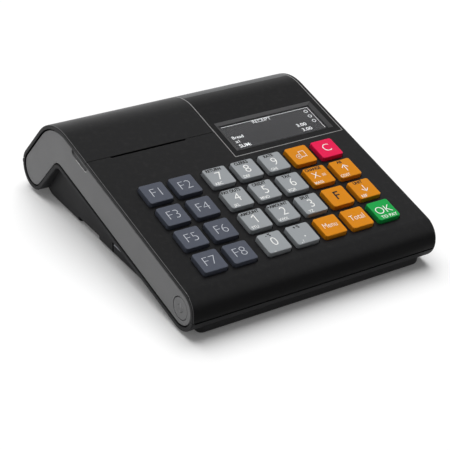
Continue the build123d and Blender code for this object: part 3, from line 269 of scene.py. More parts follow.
def makeBevelLightMask():
    group, source, sink = newGroup("bevelMask", [("Side Share", "NodeSocketFloat", 0.5)],
                                   [("Mask", "NodeSocketFloat")])
    facing = addNode(group, "ShaderNodeNewGeometry", -800, 0)
    split = addNode(group, "ShaderNodeSeparateXYZ", -620, 0)
    sideways = addNode(group, "ShaderNodeMath", -440, 120, operation="ABSOLUTE")
    side = addNode(group, "ShaderNodeMapRange", -250, 120, interpolation_type="SMOOTHSTEP")
    front = addNode(group, "ShaderNodeMapRange", -250, -160, interpolation_type="SMOOTHSTEP")
    for node, key in ((side, "side"), (front, "front")):
        node.inputs["From Min"].default_value, node.inputs["From Max"].default_value = bevelLightLook[key]
    either = addNode(group, "ShaderNodeMath", 0, 0, operation="MAXIMUM")
    lesser = addNode(group, "ShaderNodeMath", -120, 120, operation="MULTIPLY")
    group.links.new(facing.outputs["True Normal"], split.inputs[0])
    group.links.new(split.outputs["X"], sideways.inputs[0])
    group.links.new(sideways.outputs[0], side.inputs["Value"])
    group.links.new(split.outputs["Y"], front.inputs["Value"])
    group.links.new(side.outputs["Result"], lesser.inputs[0])
    group.links.new(source.outputs["Side Share"], lesser.inputs[1])
    group.links.new(lesser.outputs[0], either.inputs[0])
    group.links.new(front.outputs["Result"], either.inputs[1])
    group.links.new(either.outputs[0], sink.inputs["Mask"])
    return group


groups = {
    "grain": makeMouldGrain(), "tone": makeToneDrift(), "edge": makeEdgeWearGlint(), "dust": makeSettledDust(),
    "endWear": makeEndHighlight(), "bevelMask": makeBevelLightMask(),
}


def useGroup(tree, key, x, y, **values):
    node = addNode(tree, "ShaderNodeGroup", x, y, node_tree=groups[key])
    for name, value in values.items():
        node.inputs[name.replace("_", " ")].default_value = value
    return node


def newMaterial(name):
    material = bpy.data.materials.new(name)
    material.use_nodes = True
    tree = material.node_tree
    tree.nodes.clear()
    sink = addNode(tree, "ShaderNodeOutputMaterial", 900, 0)
    shader = addNode(tree, "ShaderNodeBsdfPrincipled", 600, 0)
    tree.links.new(shader.outputs["BSDF"], sink.inputs["Surface"])
    return material, tree, shader


# Inputs 6 and 7 and output 2 of a mix node are its colours.
def mixColours(tree, x, y, mask, first, second):
    mix = addNode(tree, "ShaderNodeMix", x, y, data_type="RGBA")
    tree.links.new(mask, mix.inputs["Factor"])
    for socket, value in ((mix.inputs[6], first), (mix.inputs[7], second)):
        if isinstance(value, tuple):
            socket.default_value = value
        else:
            tree.links.new(value, socket)
    return mix.outputs[2]


# Moulded plastic, rubber and painted parts, all from the shared groups; a finish names only what differs.
plainFinish = {
    "drift": 0.12, "driftScale": 18.0, "speckle": 0.08, "edgeRadius": 0.0003, "edgeGain": 2.5,
    "dust": 0.04, "dustTint": colour(150, 148, 144), "grainScale": 2200.0, "bump": 0.12,
    "bumpDistance": 0.0001, "specular": 0.3, "metallic": 0.0, "endWear": 0.8, "sideShare": 0.4,
}


def mouldedFinish(name, own):
    values = {**plainFinish, **own}
    material, tree, shader = newMaterial(name)
    tone = useGroup(tree, "tone", -500, 200, Color=values["tint"], Amount=values["drift"],
                    Scale=values["driftScale"], Speckle=values["speckle"])
    edge = useGroup(tree, "edge", -500, -50, Radius=values["edgeRadius"], Gain=values["edgeGain"])
    dust = useGroup(tree, "dust", -500, -300, Amount=values["dust"])
    grain = useGroup(tree, "grain", -500, -500, Scale=values["grainScale"])
    # Edges are lightened for wear and for a painted highlight on them.
    wornAndLit = mixColours(tree, -150, 200, edge.outputs["Mask"], tone.outputs["Color"], values["edgeTint"])
    # Painted highlight on the rounded ends of the skins.
    if "endTint" in values:
        endLit = useGroup(tree, "endWear", -500, 420, Amount=values["endWear"])
        wornAndLit = mixColours(tree, -40, 320, endLit.outputs["Mask"], wornAndLit, values["endTint"])
    # Painted light on the window's bevels, which face away from the lamps.
    if "bevelTint" in values:
        bevelLit = useGroup(tree, "bevelMask", -500, 560, Side_Share=values["sideShare"])
        wornAndLit = mixColours(tree, -40, 480, bevelLit.outputs["Mask"], wornAndLit, values["bevelTint"])
    dusty = mixColours(tree, 80, 200, dust.outputs["Mask"], wornAndLit, values["dustTint"])
    rough = addNode(tree, "ShaderNodeMapRange", -150, -250)
    rough.inputs["To Min"].default_value, rough.inputs["To Max"].default_value = values["rough"]
    bump = addNode(tree, "ShaderNodeBump", 200, -450)
    bump.inputs["Strength"].default_value = values["bump"]
    bump.inputs["Distance"].default_value = values["bumpDistance"]
    tree.links.new(grain.outputs["Gloss Mask"], rough.inputs["Value"])
    tree.links.new(grain.outputs["Height"], bump.inputs["Height"])
    tree.links.new(edge.outputs["Soft Normal"], bump.inputs["Normal"])
    tree.links.new(dusty, shader.inputs["Base Color"])
    tree.links.new(rough.outputs["Result"], shader.inputs["Roughness"])
    tree.links.new(bump.outputs["Normal"], shader.inputs["Normal"])
    shader.inputs["Specular IOR Level"].default_value = values["specular"]
    shader.inputs["Metallic"].default_value = values["metallic"]
    return material


# What the dark skins share, and what all the keys share.
darkSkin = {"rough": (0.32, 0.38), "edgeGain": 0.6, "drift": 0.04, "dust": 0.015}
keyPlastic = {"rough": (0.4, 0.5), "edgeRadius": 0.0004, "drift": 0.05}
# Each edge tint colours worn edges together with their painted highlight.
finishes = {
    # The end tint is a painted highlight on the skins' rounded ends.
    "housingDark": {**darkSkin, "tint": colour(20, 20, 21), "edgeTint": colour(46, 46, 47), "specular": 0.1,
                    "endTint": colour(128, 128, 129)},
    # The bevel tint is painted light on the window's bevels.
    "coverDark": {**darkSkin, "tint": colour(18, 18, 19), "edgeTint": colour(44, 44, 45), "specular": 0.075,
                  "bevelTint": colour(104, 104, 105)},
    "baseDark": {**darkSkin, "tint": colour(53, 53, 54), "edgeTint": colour(60, 60, 61), "rough": (0.44, 0.5),
                 "specular": 0.06, "edgeGain": 0.8, "drift": 0.05},
    "customerGrey": {"tint": colour(84, 85, 86), "edgeTint": colour(124, 125, 126), "rough": (0.4, 0.5),
                     "specular": 0.08},
    "trimLight": {"tint": colour(154, 154, 154), "edgeTint": colour(166, 166, 166), "rough": (0.35, 0.45),
                  "specular": 0.1},
    "panelGrey": {"tint": colour(127, 127, 128), "edgeTint": colour(156, 157, 158), "rough": (0.38, 0.48),
                  "specular": 0.25, "edgeGain": 3.0, "speckle": 0.14, "drift": 0.05},
    "keyGrey": {**keyPlastic, "tint": colour(152, 156, 159), "edgeTint": colour(170, 173, 175),
                "specular": 0.1},
    "keySlate": {**keyPlastic, "tint": colour(78, 82, 93), "edgeTint": colour(98, 102, 112), "specular": 0.1},
    "keyOrange": {**keyPlastic, "tint": colour(214, 134, 24), "edgeTint": colour(222, 150, 52),
                  "specular": 0.08},
    "keyPink": {**keyPlastic, "tint": colour(230, 30, 82), "edgeTint": colour(236, 64, 106),
                "specular": 0.08},
    "keyGreen": {**keyPlastic, "tint": colour(28, 158, 72), "edgeTint": colour(58, 168, 94),
                 "specular": 0.08},
    "lcdDark": {"tint": colour(97, 97, 99), "edgeTint": colour(97, 97, 99), "rough": (0.3, 0.36),
                "bump": 0.02, "drift": 0.06, "driftScale": 9.0, "specular": 0.1, "dust": 0.0},
    "siliconeMat": {"tint": colour(188, 188, 184), "edgeTint": colour(200, 200, 196), "rough": (0.6, 0.7)},
    "batterySleeve": {"tint": colour(40, 58, 92), "edgeTint": colour(80, 96, 126), "rough": (0.25, 0.35),
                      "bump": 0.05},
    "footRubber": {"tint": colour(36, 36, 36), "edgeTint": colour(60, 60, 60), "rough": (0.75, 0.88),
                   "bump": 0.3, "specular": 0.2},
    "platenRubber": {"tint": colour(48, 48, 50), "edgeTint": colour(72, 72, 73), "rough": (0.6, 0.7),
                     "bump": 0.3, "specular": 0.25},
    "gearAcetal": {"tint": colour(226, 222, 208), "edgeTint": colour(238, 236, 226), "rough": (0.35, 0.45)},
    "mechanismBlack": {"tint": colour(42, 42, 43), "edgeTint": colour(74, 74, 75), "rough": (0.5, 0.6),
                       "specular": 0.25},
    "motorCan": {"tint": colour(150, 150, 150), "edgeTint": colour(190, 190, 190), "rough": (0.3, 0.4),
                 "metallic": 0.9, "bump": 0.05},
    "greyFelt": {"tint": colour(160, 160, 160), "edgeTint": colour(160, 160, 160), "rough": (0.9, 1.0),
                 "specular": 0.0, "dust": 0.0},
}
materials = {name: mouldedFinish(name, values) for name, values in finishes.items()}


# Turned or drawn steel: fine lines along one direction.
steelLook = {"lineScale": 900.0, "lineDetail": 4.0, "drift": 0.2, "driftScale": 120.0, "speckle": 0.1,
             "bump": 0.1, "bumpDistance": 0.0001}


def steelFinish(name, tint, stretch, rough):
    material, tree, shader = newMaterial(name)
    place = addNode(tree, "ShaderNodeTexCoord", -900, 0)
    squeeze = addNode(tree, "ShaderNodeMapping", -700, 0)
    squeeze.inputs["Scale"].default_value = stretch
    lines = addNode(tree, "ShaderNodeTexNoise", -500, 0)
    lines.inputs["Scale"].default_value = steelLook["lineScale"]
    lines.inputs["Detail"].default_value = steelLook["lineDetail"]
    ramp = addNode(tree, "ShaderNodeMapRange", -250, -150)
    ramp.inputs["To Min"].default_value, ramp.inputs["To Max"].default_value = rough
    tone = useGroup(tree, "tone", -250, 200, Color=tint, Amount=steelLook["drift"],
                    Scale=steelLook["driftScale"], Speckle=steelLook["speckle"])
    bump = addNode(tree, "ShaderNodeBump", 200, -300)
    bump.inputs["Strength"].default_value = steelLook["bump"]
    bump.inputs["Distance"].default_value = steelLook["bumpDistance"]
    tree.links.new(place.outputs["Object"], squeeze.inputs["Vector"])
    tree.links.new(squeeze.outputs["Vector"], lines.inputs["Vector"])
    tree.links.new(lines.outputs["Fac"], ramp.inputs["Value"])
    tree.links.new(lines.outputs["Fac"], bump.inputs["Height"])
    tree.links.new(tone.outputs["Color"], shader.inputs["Base Color"])
    tree.links.new(ramp.outputs["Result"], shader.inputs["Roughness"])
    tree.links.new(bump.outputs["Normal"], shader.inputs["Normal"])
    shader.inputs["Metallic"].default_value = 1.0
    return material


steels = {
    "shaftSteel": (colour(190, 190, 192), (0.02, 1.0, 1.0), (0.22, 0.38)),
    "screwZinc": (colour(160, 160, 158), (1.0, 1.0, 0.1), (0.3, 0.45)),
    "blackenedSteel": (colour(40, 40, 41), (0.05, 1.0, 1.0), (0.45, 0.6)),
    "headPlate": (colour(205, 206, 208), (0.05, 1.0, 1.0), (0.3, 0.42)),
}
for name, (tint, stretch, rough) in steels.items():
    materials[name] = steelFinish(name, tint, stretch, rough)


# Circuit board: green resist with tracks, dark chips above it and bare metal shells below it.
boardLook = {"resist": colour(22, 92, 52), "track": colour(40, 122, 74), "chip": colour(34, 34, 36),
             "shell": colour(176, 177, 180), "top": 10.62 * mm, "bottom": 8.98 * mm, "trackScale": 160.0,
             "trackGap": 0.03, "drift": 0.15, "driftScale": 60.0, "bump": 0.2, "bumpDistance": 0.0001,
             "rough": 0.35}


def boardFinish(name, useLevels):
    material, tree, shader = newMaterial(name)
    place = addNode(tree, "ShaderNodeTexCoord", -1100, 0)
    tracks = addNode(tree, "ShaderNodeTexBrick", -850, 200)
    tracks.inputs["Scale"].default_value = boardLook["trackScale"]
    tracks.inputs["Mortar Size"].default_value = boardLook["trackGap"]
    tracks.inputs["Color1"].default_value = boardLook["resist"]
    tracks.inputs["Color2"].default_value = boardLook["resist"]
    tracks.inputs["Mortar"].default_value = boardLook["track"]
    tree.links.new(place.outputs["Object"], tracks.inputs["Vector"])
    tone = useGroup(tree, "tone", -600, 200, Amount=boardLook["drift"], Scale=boardLook["driftScale"])
    tree.links.new(tracks.outputs["Color"], tone.inputs["Color"])
    result = tone.outputs["Color"]
    if useLevels:
        split = addNode(tree, "ShaderNodeSeparateXYZ", -850, -150)
        above = addNode(tree, "ShaderNodeMath", -600, -100, operation="GREATER_THAN")
        above.inputs[1].default_value = boardLook["top"]
        below = addNode(tree, "ShaderNodeMath", -600, -300, operation="LESS_THAN")
        below.inputs[1].default_value = boardLook["bottom"]
        tree.links.new(place.outputs["Object"], split.inputs[0])
        tree.links.new(split.outputs["Z"], above.inputs[0])
        tree.links.new(split.outputs["Z"], below.inputs[0])
        result = mixColours(tree, -300, 200, above.outputs[0], result, boardLook["chip"])
        result = mixColours(tree, -80, 200, below.outputs[0], result, boardLook["shell"])
        tree.links.new(below.outputs[0], shader.inputs["Metallic"])
    bump = addNode(tree, "ShaderNodeBump", 200, -300)
    bump.inputs["Strength"].default_value = boardLook["bump"]
    bump.inputs["Distance"].default_value = boardLook["bumpDistance"]
    tree.links.new(tracks.outputs["Fac"], bump.inputs["Height"])
    tree.links.new(result, shader.inputs["Base Color"])
    tree.links.new(bump.outputs["Normal"], shader.inputs["Normal"])
    shader.inputs["Roughness"].default_value = boardLook["rough"]
    return material


materials["mainBoard"] = boardFinish("mainBoard", True)
materials["keyBoard"] = boardFinish("keyBoard", False)


# Clear moulded window over a display.
lensLook = {"tint": (0.06, 0.06, 0.065, 1), "alpha": 0.18, "ior": 1.49, "rough": (0.08, 0.14),
            "grainScale": 500.0, "blotchScale": 40.0}


def lensFinish(name):
    material, tree, shader = newMaterial(name)
    grain = useGroup(tree, "grain", -500, -100, Scale=lensLook["grainScale"],
                     Blotch_Scale=lensLook["blotchScale"])
    rough = addNode(tree, "ShaderNodeMapRange", -200, -100)
    rough.inputs["To Min"].default_value, rough.inputs["To Max"].default_value = lensLook["rough"]
    tree.links.new(grain.outputs["Gloss Mask"], rough.inputs["Value"])
    tree.links.new(rough.outputs["Result"], shader.inputs["Roughness"])
    shader.inputs["Base Color"].default_value = lensLook["tint"]
    shader.inputs["Alpha"].default_value = lensLook["alpha"]
    shader.inputs["IOR"].default_value = lensLook["ior"]
    return material


materials["lens"] = lensFinish("lens")


# Inks of the legends and of thin lines, laid down slightly unevenly: a tint, a glow and a gloss each. Beside
# print, the white, pale and glint inks draw painted highlights, the shade ink painted shade and the joint ink
# a painted shadow.
inkLook = {"drift": 0.1, "driftScale": 700.0, "speckle": 0.12, "rough": 0.5}
inks = {
    "inkWhite": (colour(236, 236, 234), 0.0, 0.2), "inkPale": (colour(190, 193, 200), 0.0, 0.2),
    "inkDark": (colour(14, 12, 12), 0.0, 0.2), "jointShade": (colour(7, 7, 7), 0.0, 0.0),
    "inkShade": (colour(84, 84, 86), 0.0, 0.2), "inkGlint": (colour(168, 169, 171), 0.0, 0.2),
    "screenLit": (colour(238, 240, 242), 0.5, 0.2),
}


def inkFinish(name, tint, glow, gloss):
    material, tree, shader = newMaterial(name)
    tone = useGroup(tree, "tone", -400, 100, Color=tint, Amount=inkLook["drift"], Scale=inkLook["driftScale"],
                    Speckle=inkLook["speckle"])
    tree.links.new(tone.outputs["Color"], shader.inputs["Base Color"])
    shader.inputs["Roughness"].default_value = inkLook["rough"]
    shader.inputs["Specular IOR Level"].default_value = gloss
    if glow:
        tree.links.new(tone.outputs["Color"], shader.inputs["Emission Color"])
        shader.inputs["Emission Strength"].default_value = glow
    return material


for name, (tint, glow, gloss) in inks.items():
    materials[name] = inkFinish(name, tint, glow, gloss)
print("stage: finishes", len(materials))

# Which solids take which finish; the keys follow by their names.
finishNodes = {
    "housingDark": ["upper_housing", "printer_lid"],
    "baseDark": ["lower_housing", "battery_door", "port_cover"],
    "coverDark": ["display_cover"],
    "customerGrey": ["customer_frame"],
    "trimLight": ["display_trim"],
    "lens": ["display_window", "customer_window"],
    "lcdDark": ["operator_lcd", "customer_lcd"],
    "panelGrey": ["left_side_panel", "right_side_panel", "power_button"],
    "siliconeMat": ["keypad_mat"],
    "keyBoard": ["keyboard_board"],
    "mainBoard": ["main_board"],
    "batterySleeve": ["battery_pack"],
    "footRubber": ["rubber_feet"],
    "screwZinc": ["case_screws"],
    "shaftSteel": ["lid_hinge_pin", "platen_shaft"],
    "platenRubber": ["platen_roller"],
    "gearAcetal": ["platen_gear", "idler_gear", "motor_pinion"],
    "motorCan": ["stepper_motor"],
    "mechanismBlack": ["printer_frame", "paper_bucket"],
    "headPlate": ["thermal_head"],
    "blackenedSteel": ["tear_bar"],
}
nodeFinish = {node: finish for finish, names in finishNodes.items() for node in names}
keyFinish = {"clear": "keyPink", "ok": "keyGreen"}
orangeKeys = ("receipt", "multiply", "up", "function", "down", "menu", "total")
keyFinish.update((name, "keyOrange") for name in orangeKeys)
keyFinish.update(("f%d" % number, "keySlate") for number in range(1, 9))
for name, obj in nodes.items():
    finish = nodeFinish.get(name) or keyFinish.get(name.replace("key_", ""), "keyGrey")
    obj.data.materials.clear()
    obj.data.materials.append(materials[finish])
print("stage: solids dressed")


# Flat artwork: letters and strokes gathered into one mesh per piece. Curves are cut in curveSteps parts.
curveSteps = 4


# A word as a flat mesh at a type size of one.
def typeMesh(text, thin):
    curve = bpy.data.curves.new("letters", "FONT")
    curve.body = text
    curve.size = 1.0
    curve.offset = -thin
    curve.resolution_u = curveSteps
    holder = bpy.data.objects.new("letters", curve)
    scene.collection.objects.link(holder)
    bpy.context.view_layer.update()
    mesh = bpy.data.meshes.new_from_object(holder.evaluated_get(bpy.context.evaluated_depsgraph_get()))
    bpy.data.objects.remove(holder)
    bpy.data.curves.remove(curve)
    return mesh


def spanX(mesh):
    across = [v.co.x for v in mesh.vertices]
    return min(across), max(across)


capital = typeMesh("H", 0.0)
capHeight = max(v.co.y for v in capital.vertices)
bpy.data.meshes.remove(capital)


def addStroke(target, points, width, slotIndex):
    for (x1, y1), (x2, y2) in zip(points[:-1], points[1:]):
        run = Vector((x2 - x1, y2 - y1, 0))
        side = Vector((-run.y, run.x, 0)).normalized() * width / 2
        tip = run.normalized() * width / 2
        a, b = Vector((x1, y1, 0)) - tip, Vector((x2, y2, 0)) + tip
        face = target.faces.new([target.verts.new(p) for p in (a - side, b - side, b + side, a + side)])
        face.material_index = slotIndex


def addLetters(target, text, x, y, height, thin, slotIndex, squeeze, align):
    mesh = typeMesh(text, thin)
    size = height / capHeight
    low, high = spanX(mesh)
    mesh.transform(Matrix.Diagonal((size, size, 1.0, 1.0)) @ Matrix.Translation((-(low + high) / 2, 0, 0)))
    low, high = spanX(mesh)
    half = (high - low) / 2 * squeeze
    shift = {"CENTER": 0.0, "LEFT": half, "RIGHT": -half}[align]
    mesh.transform(Matrix.Translation((x + shift, y, 0)) @ Matrix.Diagonal((squeeze, 1.0, 1.0, 1.0)))
    start = len(target.faces)
    target.from_mesh(mesh)
    target.faces.ensure_lookup_table()
    for face in target.faces[start:]:
        face.material_index = slotIndex
    bpy.data.meshes.remove(mesh)


# Points of a circle, in mm as all artwork is drawn.
def circle(x, y, radius, count):
    angles = [2 * pi * k / count for k in range(count + 1)]
    return [(x + radius * cos(a), y + radius * sin(a)) for a in angles]


# Rows are text, x, base line, cap height, thinning, ink, squeeze and alignment; strokes are width and points.
def drawArtwork(rows, strokes):
    art = bmesh.new()
    for width, points in strokes:
        addStroke(art, [(x * mm, y * mm) for x, y in points], width * mm, 0)
    for text, x, base, height, thin, slotIndex, squeeze, align in rows:
        addLetters(art, text, x * mm, base * mm, height * mm, thin, slotIndex, squeeze, align)
    return art


def finishArtwork(name, target, place, body, inkNames):
    mesh = bpy.data.meshes.new(name)
    target.to_mesh(mesh)
    target.free()
    mesh.transform(place)
    obj = bpy.data.objects.new(name, mesh)
    for ink in inkNames:
        mesh.materials.append(materials[ink])
    scene.collection.objects.link(obj)
    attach(obj, body)
    return obj


# Key legends, in mm from the middle of a key: big sign, small dark word above, small pale letters below.
legends = {
    "lift": 0.015 * mm,
    "sign": {"x": 0.2, "base": -3.1, "height": 6.9, "thin": 0.01},
    "function": {"x": 0.0, "base": -3.5, "height": 7.3, "thin": 0.024},
    "word": {"x": -1.0, "base": 5.15, "height": 2.35, "thin": -0.042, "ink": 1, "squeeze": 0.9},
    "letters": {"x": -4.2, "base": -7.3, "height": 2.3, "thin": -0.01, "squeeze": 0.9},
    "words": {"7": "RETURN", "8": "CLERKS", "9": "RATE", "4": "PAY OUTS", "5": "CREDIT", "6": "TAX",
              "1": "-AMOUNT", "2": "+AMOUNT", "3": "SPLIT", "0": "- %", "dot": "+ %",
              "multiply": "CHANGE", "up": "AB", "down": "UNIT"},
    "smallLetters": {"7": "ABC", "8": "DEF", "9": "GHI", "4": "JKL", "5": "MNO", "6": "PQR",
                     "1": "STU", "2": "VWX", "3": "YZ", "0": "_", "dot": ", /",
                     "multiply": "MASS", "up": "COST", "down": "REF"},
    "rows": {
        "clear": [("C", 0.0, -2.8, 6.8, 0.01, 0, 1.0, "CENTER")],
        "function": [("F", 0.0, -2.8, 7.0, -0.012, 1, 1.0, "CENTER")],
        "ok": [("OK", 0.0, -3.1, 6.2, 0.01, 0, 1.0, "CENTER"),
               ("TO PAY", 0.6, -7.3, 2.5, -0.012, 0, 1.0, "CENTER")],
        "menu": [("Menu", 0.0, -1.8, 4.4, 0.008, 0, 0.78, "CENTER")],
        "total": [("Total", 0.0, -1.8, 4.4, 0.008, 0, 0.86, "CENTER")],
        "multiply": [("X", -2.4, -2.0, 5.4, 0.01, 0, 1.0, "CENTER"),
                     ("00", 3.6, -1.6, 2.2, 0.006, 0, 1.0, "CENTER")],
    },
    "strokes": {
        "1": [(0.78, [(-1.7, 2.4), (0.5, 3.8), (0.5, -2.5)])],
        "up": [(0.6, [(0.4, -2.4), (0.4, 3.0)]), (0.6, [(-1.9, 0.9), (0.4, 3.2), (2.7, 0.9)])],
        "down": [(0.6, [(0.4, -2.4), (0.4, 3.0)]), (0.6, [(-1.9, -0.3), (0.4, -2.6), (2.7, -0.3)])],
        "receipt": [(0.42, circle(-2.4, -1.2, 1.9, 24)), (0.35, circle(-2.4, -1.2, 0.6, 12)),
                    (0.42, [(-0.5, -1.2), (-0.5, 3.2), (3.6, 3.2), (3.6, -2.4), (2.6, -1.8), (1.6, -2.4),
                            (0.6, -1.8), (-0.6, -2.6)])],
    },
}


def legendRow(text, values):
    return (text, values["x"], values["base"], values["height"], values["thin"], values.get("ink", 0),
            values.get("squeeze", 1.0), "CENTER")


def keyArtwork(name):
    rows = list(legends["rows"].get(name, []))
    if name == "dot" or name in "023456789":
        rows.append(legendRow("." if name == "dot" else name, legends["sign"]))
    elif keyFinish.get(name) == "keySlate":
        rows.append(legendRow(name.upper(), legends["function"]))
    if name in legends["words"]:
        rows.append(legendRow(legends["words"][name], legends["word"]))
    if name in legends["smallLetters"]:
        rows.append(legendRow(legends["smallLetters"][name], legends["letters"]))
    return drawArtwork(rows, legends["strokes"].get(name, []))


numberFirst = keys["numberX"] - keys["pitchX"] * keys["functionColumns"]
for rowIndex, row in enumerate(keys["rows"]):
    for columnIndex, name in enumerate(row):
        inFunctions = columnIndex < keys["functionColumns"]
        x = (keys["functionX"] if inFunctions else numberFirst) + keys["pitchX"] * columnIndex
        s = keys["firstS"] + keys["pitchS"] * rowIndex
        place = deckPlace(x, s, keys["top"] + legends["lift"])
        inkNames = ["inkPale" if inFunctions else "inkWhite", "inkDark"]
        finishArtwork("legend_" + name, keyArtwork(name), place, "key_" + name, inkNames)
print("stage: key legends")

# The customer's display: the sum in plain figures, t mm down the back slope.
customerScreen = {
    "x": 47.925, "t": 12.0, "n": -1.9 * mm,
    "rows": [("SUM", -25.0, -2.0, 4.0, 0.0, 0, 1.0, "CENTER"),
             ("3.00", 26.0, -4.5, 9.0, 0.01, 0, 0.9, "RIGHT")],
}


def rearPlace(x, t, n):
    b = backSlope["slope"]
    y = backSlope["startY"] + t * mm * cos(b) + (deck["radius"] + n) * sin(b)
    z = backSlope["startZ"] - t * mm * sin(b) + (deck["radius"] + n) * cos(b)
    return Matrix.Translation((x * mm, y, z)) @ Matrix.Rotation(pi, 4, "Z") @ Matrix.Rotation(b, 4, "X")


finishArtwork("customer_screen", drawArtwork(customerScreen["rows"], []),
              rearPlace(customerScreen["x"], customerScreen["t"], customerScreen["n"]), "housing",
              ["screenLit"])

# Sign on the power button, pressed into its face and drawn only as painted highlight and painted shade: the
# light and the dark sides of its edges and of the button's rim as thin arcs.
# An arc is its radius in mm, from and to in degrees, and its ink, 0 shade or 1 glint.
buttonSignShading = {
    "x": -95.02 * mm, "line": 0.36 * mm, "barLow": 0.5 * mm, "barHigh": 3.3 * mm, "arcParts": 8,
    "arcs": [(2.7, -80, 5, 1), (2.7, 12, 55, 0), (2.7, 135, 190, 1), (2.7, 200, 262, 0), (7.1, -82, -32, 1),
             (7.1, 35, 85, 0)],
}


def buttonShadingArtwork():
    art = bmesh.new()
    for radius, low, high, slotIndex in buttonSignShading["arcs"]:
        steps = range(low, high + 1, max(1, (high - low) // buttonSignShading["arcParts"]))
        ring = [(-radius * mm * cos(radians(t)), radius * mm * sin(radians(t))) for t in steps]
        addStroke(art, ring, buttonSignShading["line"], slotIndex)
    addStroke(art, [(0, buttonSignShading["barLow"]), (0, buttonSignShading["barHigh"])], buttonSignShading["line"], 1)
    return art


faceLeft = Matrix.Rotation(-pi / 2, 4, "Z") @ Matrix.Rotation(pi / 2, 4, "X")
buttonPlace = Matrix.Translation((buttonSignShading["x"], deck["noseY"], deck["noseZ"])) @ faceLeft
finishArtwork("button_sign", buttonShadingArtwork(), buttonPlace, "power_button",
              ["inkShade", "inkGlint"])

# Painted shadow of the open joint between the skins, a dark strip round the nose: angles in degrees below the
# front.
noseJointShadow = {"half": 93.6 * mm, "start": 12.0, "depth": 3.6, "lift": 0.03 * mm, "parts": 4}


def wrapNoseShadow():
    art = bmesh.new()
    r = deck["radius"] + noseJointShadow["lift"]
    rings = []
    for k in range(noseJointShadow["parts"] + 1):
        angle = radians(noseJointShadow["start"] + noseJointShadow["depth"] * k / noseJointShadow["parts"])
        y, z = deck["noseY"] - r * cos(angle), deck["noseZ"] - r * sin(angle)
        rings.append([art.verts.new((x, y, z)) for x in (-noseJointShadow["half"], noseJointShadow["half"])])
    for low, high in zip(rings[:-1], rings[1:]):
        art.faces.new([low[0], high[0], high[1], low[1]])
    return art


# Painted highlight on the barrel of the flap's hinge: a pale strip that narrows from the back to the front.
flapHingeGlint = {"x": -86.92 * mm, "z": 8.4 * mm, "radius": 1.14 * mm, "back": -3.7 * mm, "front": -15.5 * mm,
             "low": 10.0, "span": 60.0, "tip": 1.02, "partsAlong": 8, "partsRound": 4}


def hingeGlintStrip():
    art = bmesh.new()
    x, z, r = flapHingeGlint["x"], flapHingeGlint["z"], flapHingeGlint["radius"]
    along, around = flapHingeGlint["partsAlong"], flapHingeGlint["partsRound"]
    rows = []
    for i in range(along + 1):
        t = i / along
        y = flapHingeGlint["back"] + (flapHingeGlint["front"] - flapHingeGlint["back"]) * t
        angles = [radians(flapHingeGlint["low"] + flapHingeGlint["span"] * (flapHingeGlint["tip"] - t) * k / around)
                  for k in range(around + 1)]
        rows.append([art.verts.new((x - r * cos(a), y, z + r * sin(a))) for a in angles])
    for first, second in zip(rows[:-1], rows[1:]):
        for k in range(around):
            art.faces.new([first[k], second[k], second[k + 1], first[k + 1]])
    return art


# Painted highlight: a light line where the scoop's floor meets the cheek, s along the deck and n above it.
scoopGlintEdge = {"from": 117.2, "n": -7.5 * mm, "line": 0.5 * mm, "lift": 0.02 * mm,
             "run": [(2.2, 0.9), (3.1, 0.2), (4.6, 0.0), (10.0, 0.0), (15.5, 0.0)]}


def sidePlace(s):
    a = deck["slope"]
    spot = deckPlace(0, s, 0).to_translation()
    turn = Matrix(((0, 0, -1), (-cos(a), -sin(a), 0), (-sin(a), cos(a), 0))).to_4x4()
    return Matrix.Translation((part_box("left_side_panel")[0][0] - scoopGlintEdge["lift"], spot.y, spot.z)) @ turn


def scoopGlint():
    art = bmesh.new()
    points = [(-along * mm, scoopGlintEdge["n"] + rise * mm) for along, rise in scoopGlintEdge["run"]]
    addStroke(art, points, scoopGlintEdge["line"], 0)
    return art


# Painted highlight along the scoop's floor.
finishArtwork("scoop_line", scoopGlint(), sidePlace(scoopGlintEdge["from"]), "housing", ["inkWhite"])
# Painted shadow along the joint at the nose.
finishArtwork("nose_joint", wrapNoseShadow(), Matrix.Identity(4), "housing", ["jointShade"])
# Painted highlight on the flap's hinge, riding on the flap.
finishArtwork("hinge_strip", hingeGlintStrip(), Matrix.Identity(4), "port_cover", ["inkPale"])

# What the operator's display shows, in mm from the middle of the window: a receipt line and its total, a
# painted highlight of two thin lines along the far and the right edge, and three status signs.
operatorScreen = {
    "x": 47.925, "s": 113.75, "n": -1.9 * mm,
    "rows": [("RECEIPT", -4.0, 8.1, 2.9, 0.0, 0, 1.0, "CENTER"),
             ("Bread", -35.0, -2.0, 2.7, -0.015, 0, 1.0, "LEFT"),
             ("x1", -35.0, -6.0, 2.7, -0.015, 0, 1.0, "LEFT"),
             ("SUM:", -34.6, -10.9, 3.0, -0.015, 0, 1.0, "LEFT"),
             ("3.00", 25.2, -5.2, 2.9, -0.015, 0, 1.15, "RIGHT"),
             ("3.00", 26.6, -10.3, 2.9, -0.015, 0, 1.15, "RIGHT")],
    # Painted highlight along the far and the right edge of the window.
    "strokes": [(0.32, [(-36.4, 11.1), (36.3, 11.1), (36.3, -11.3)])]
    + [(0.4, circle(32.8, y, 1.3, 16)) for y in (7.6, 2.4, -2.8)],
}
screenPlace = deckPlace(operatorScreen["x"], operatorScreen["s"], operatorScreen["n"])
finishArtwork("operator_screen", drawArtwork(operatorScreen["rows"], operatorScreen["strokes"]), screenPlace,
              "housing", ["screenLit"])

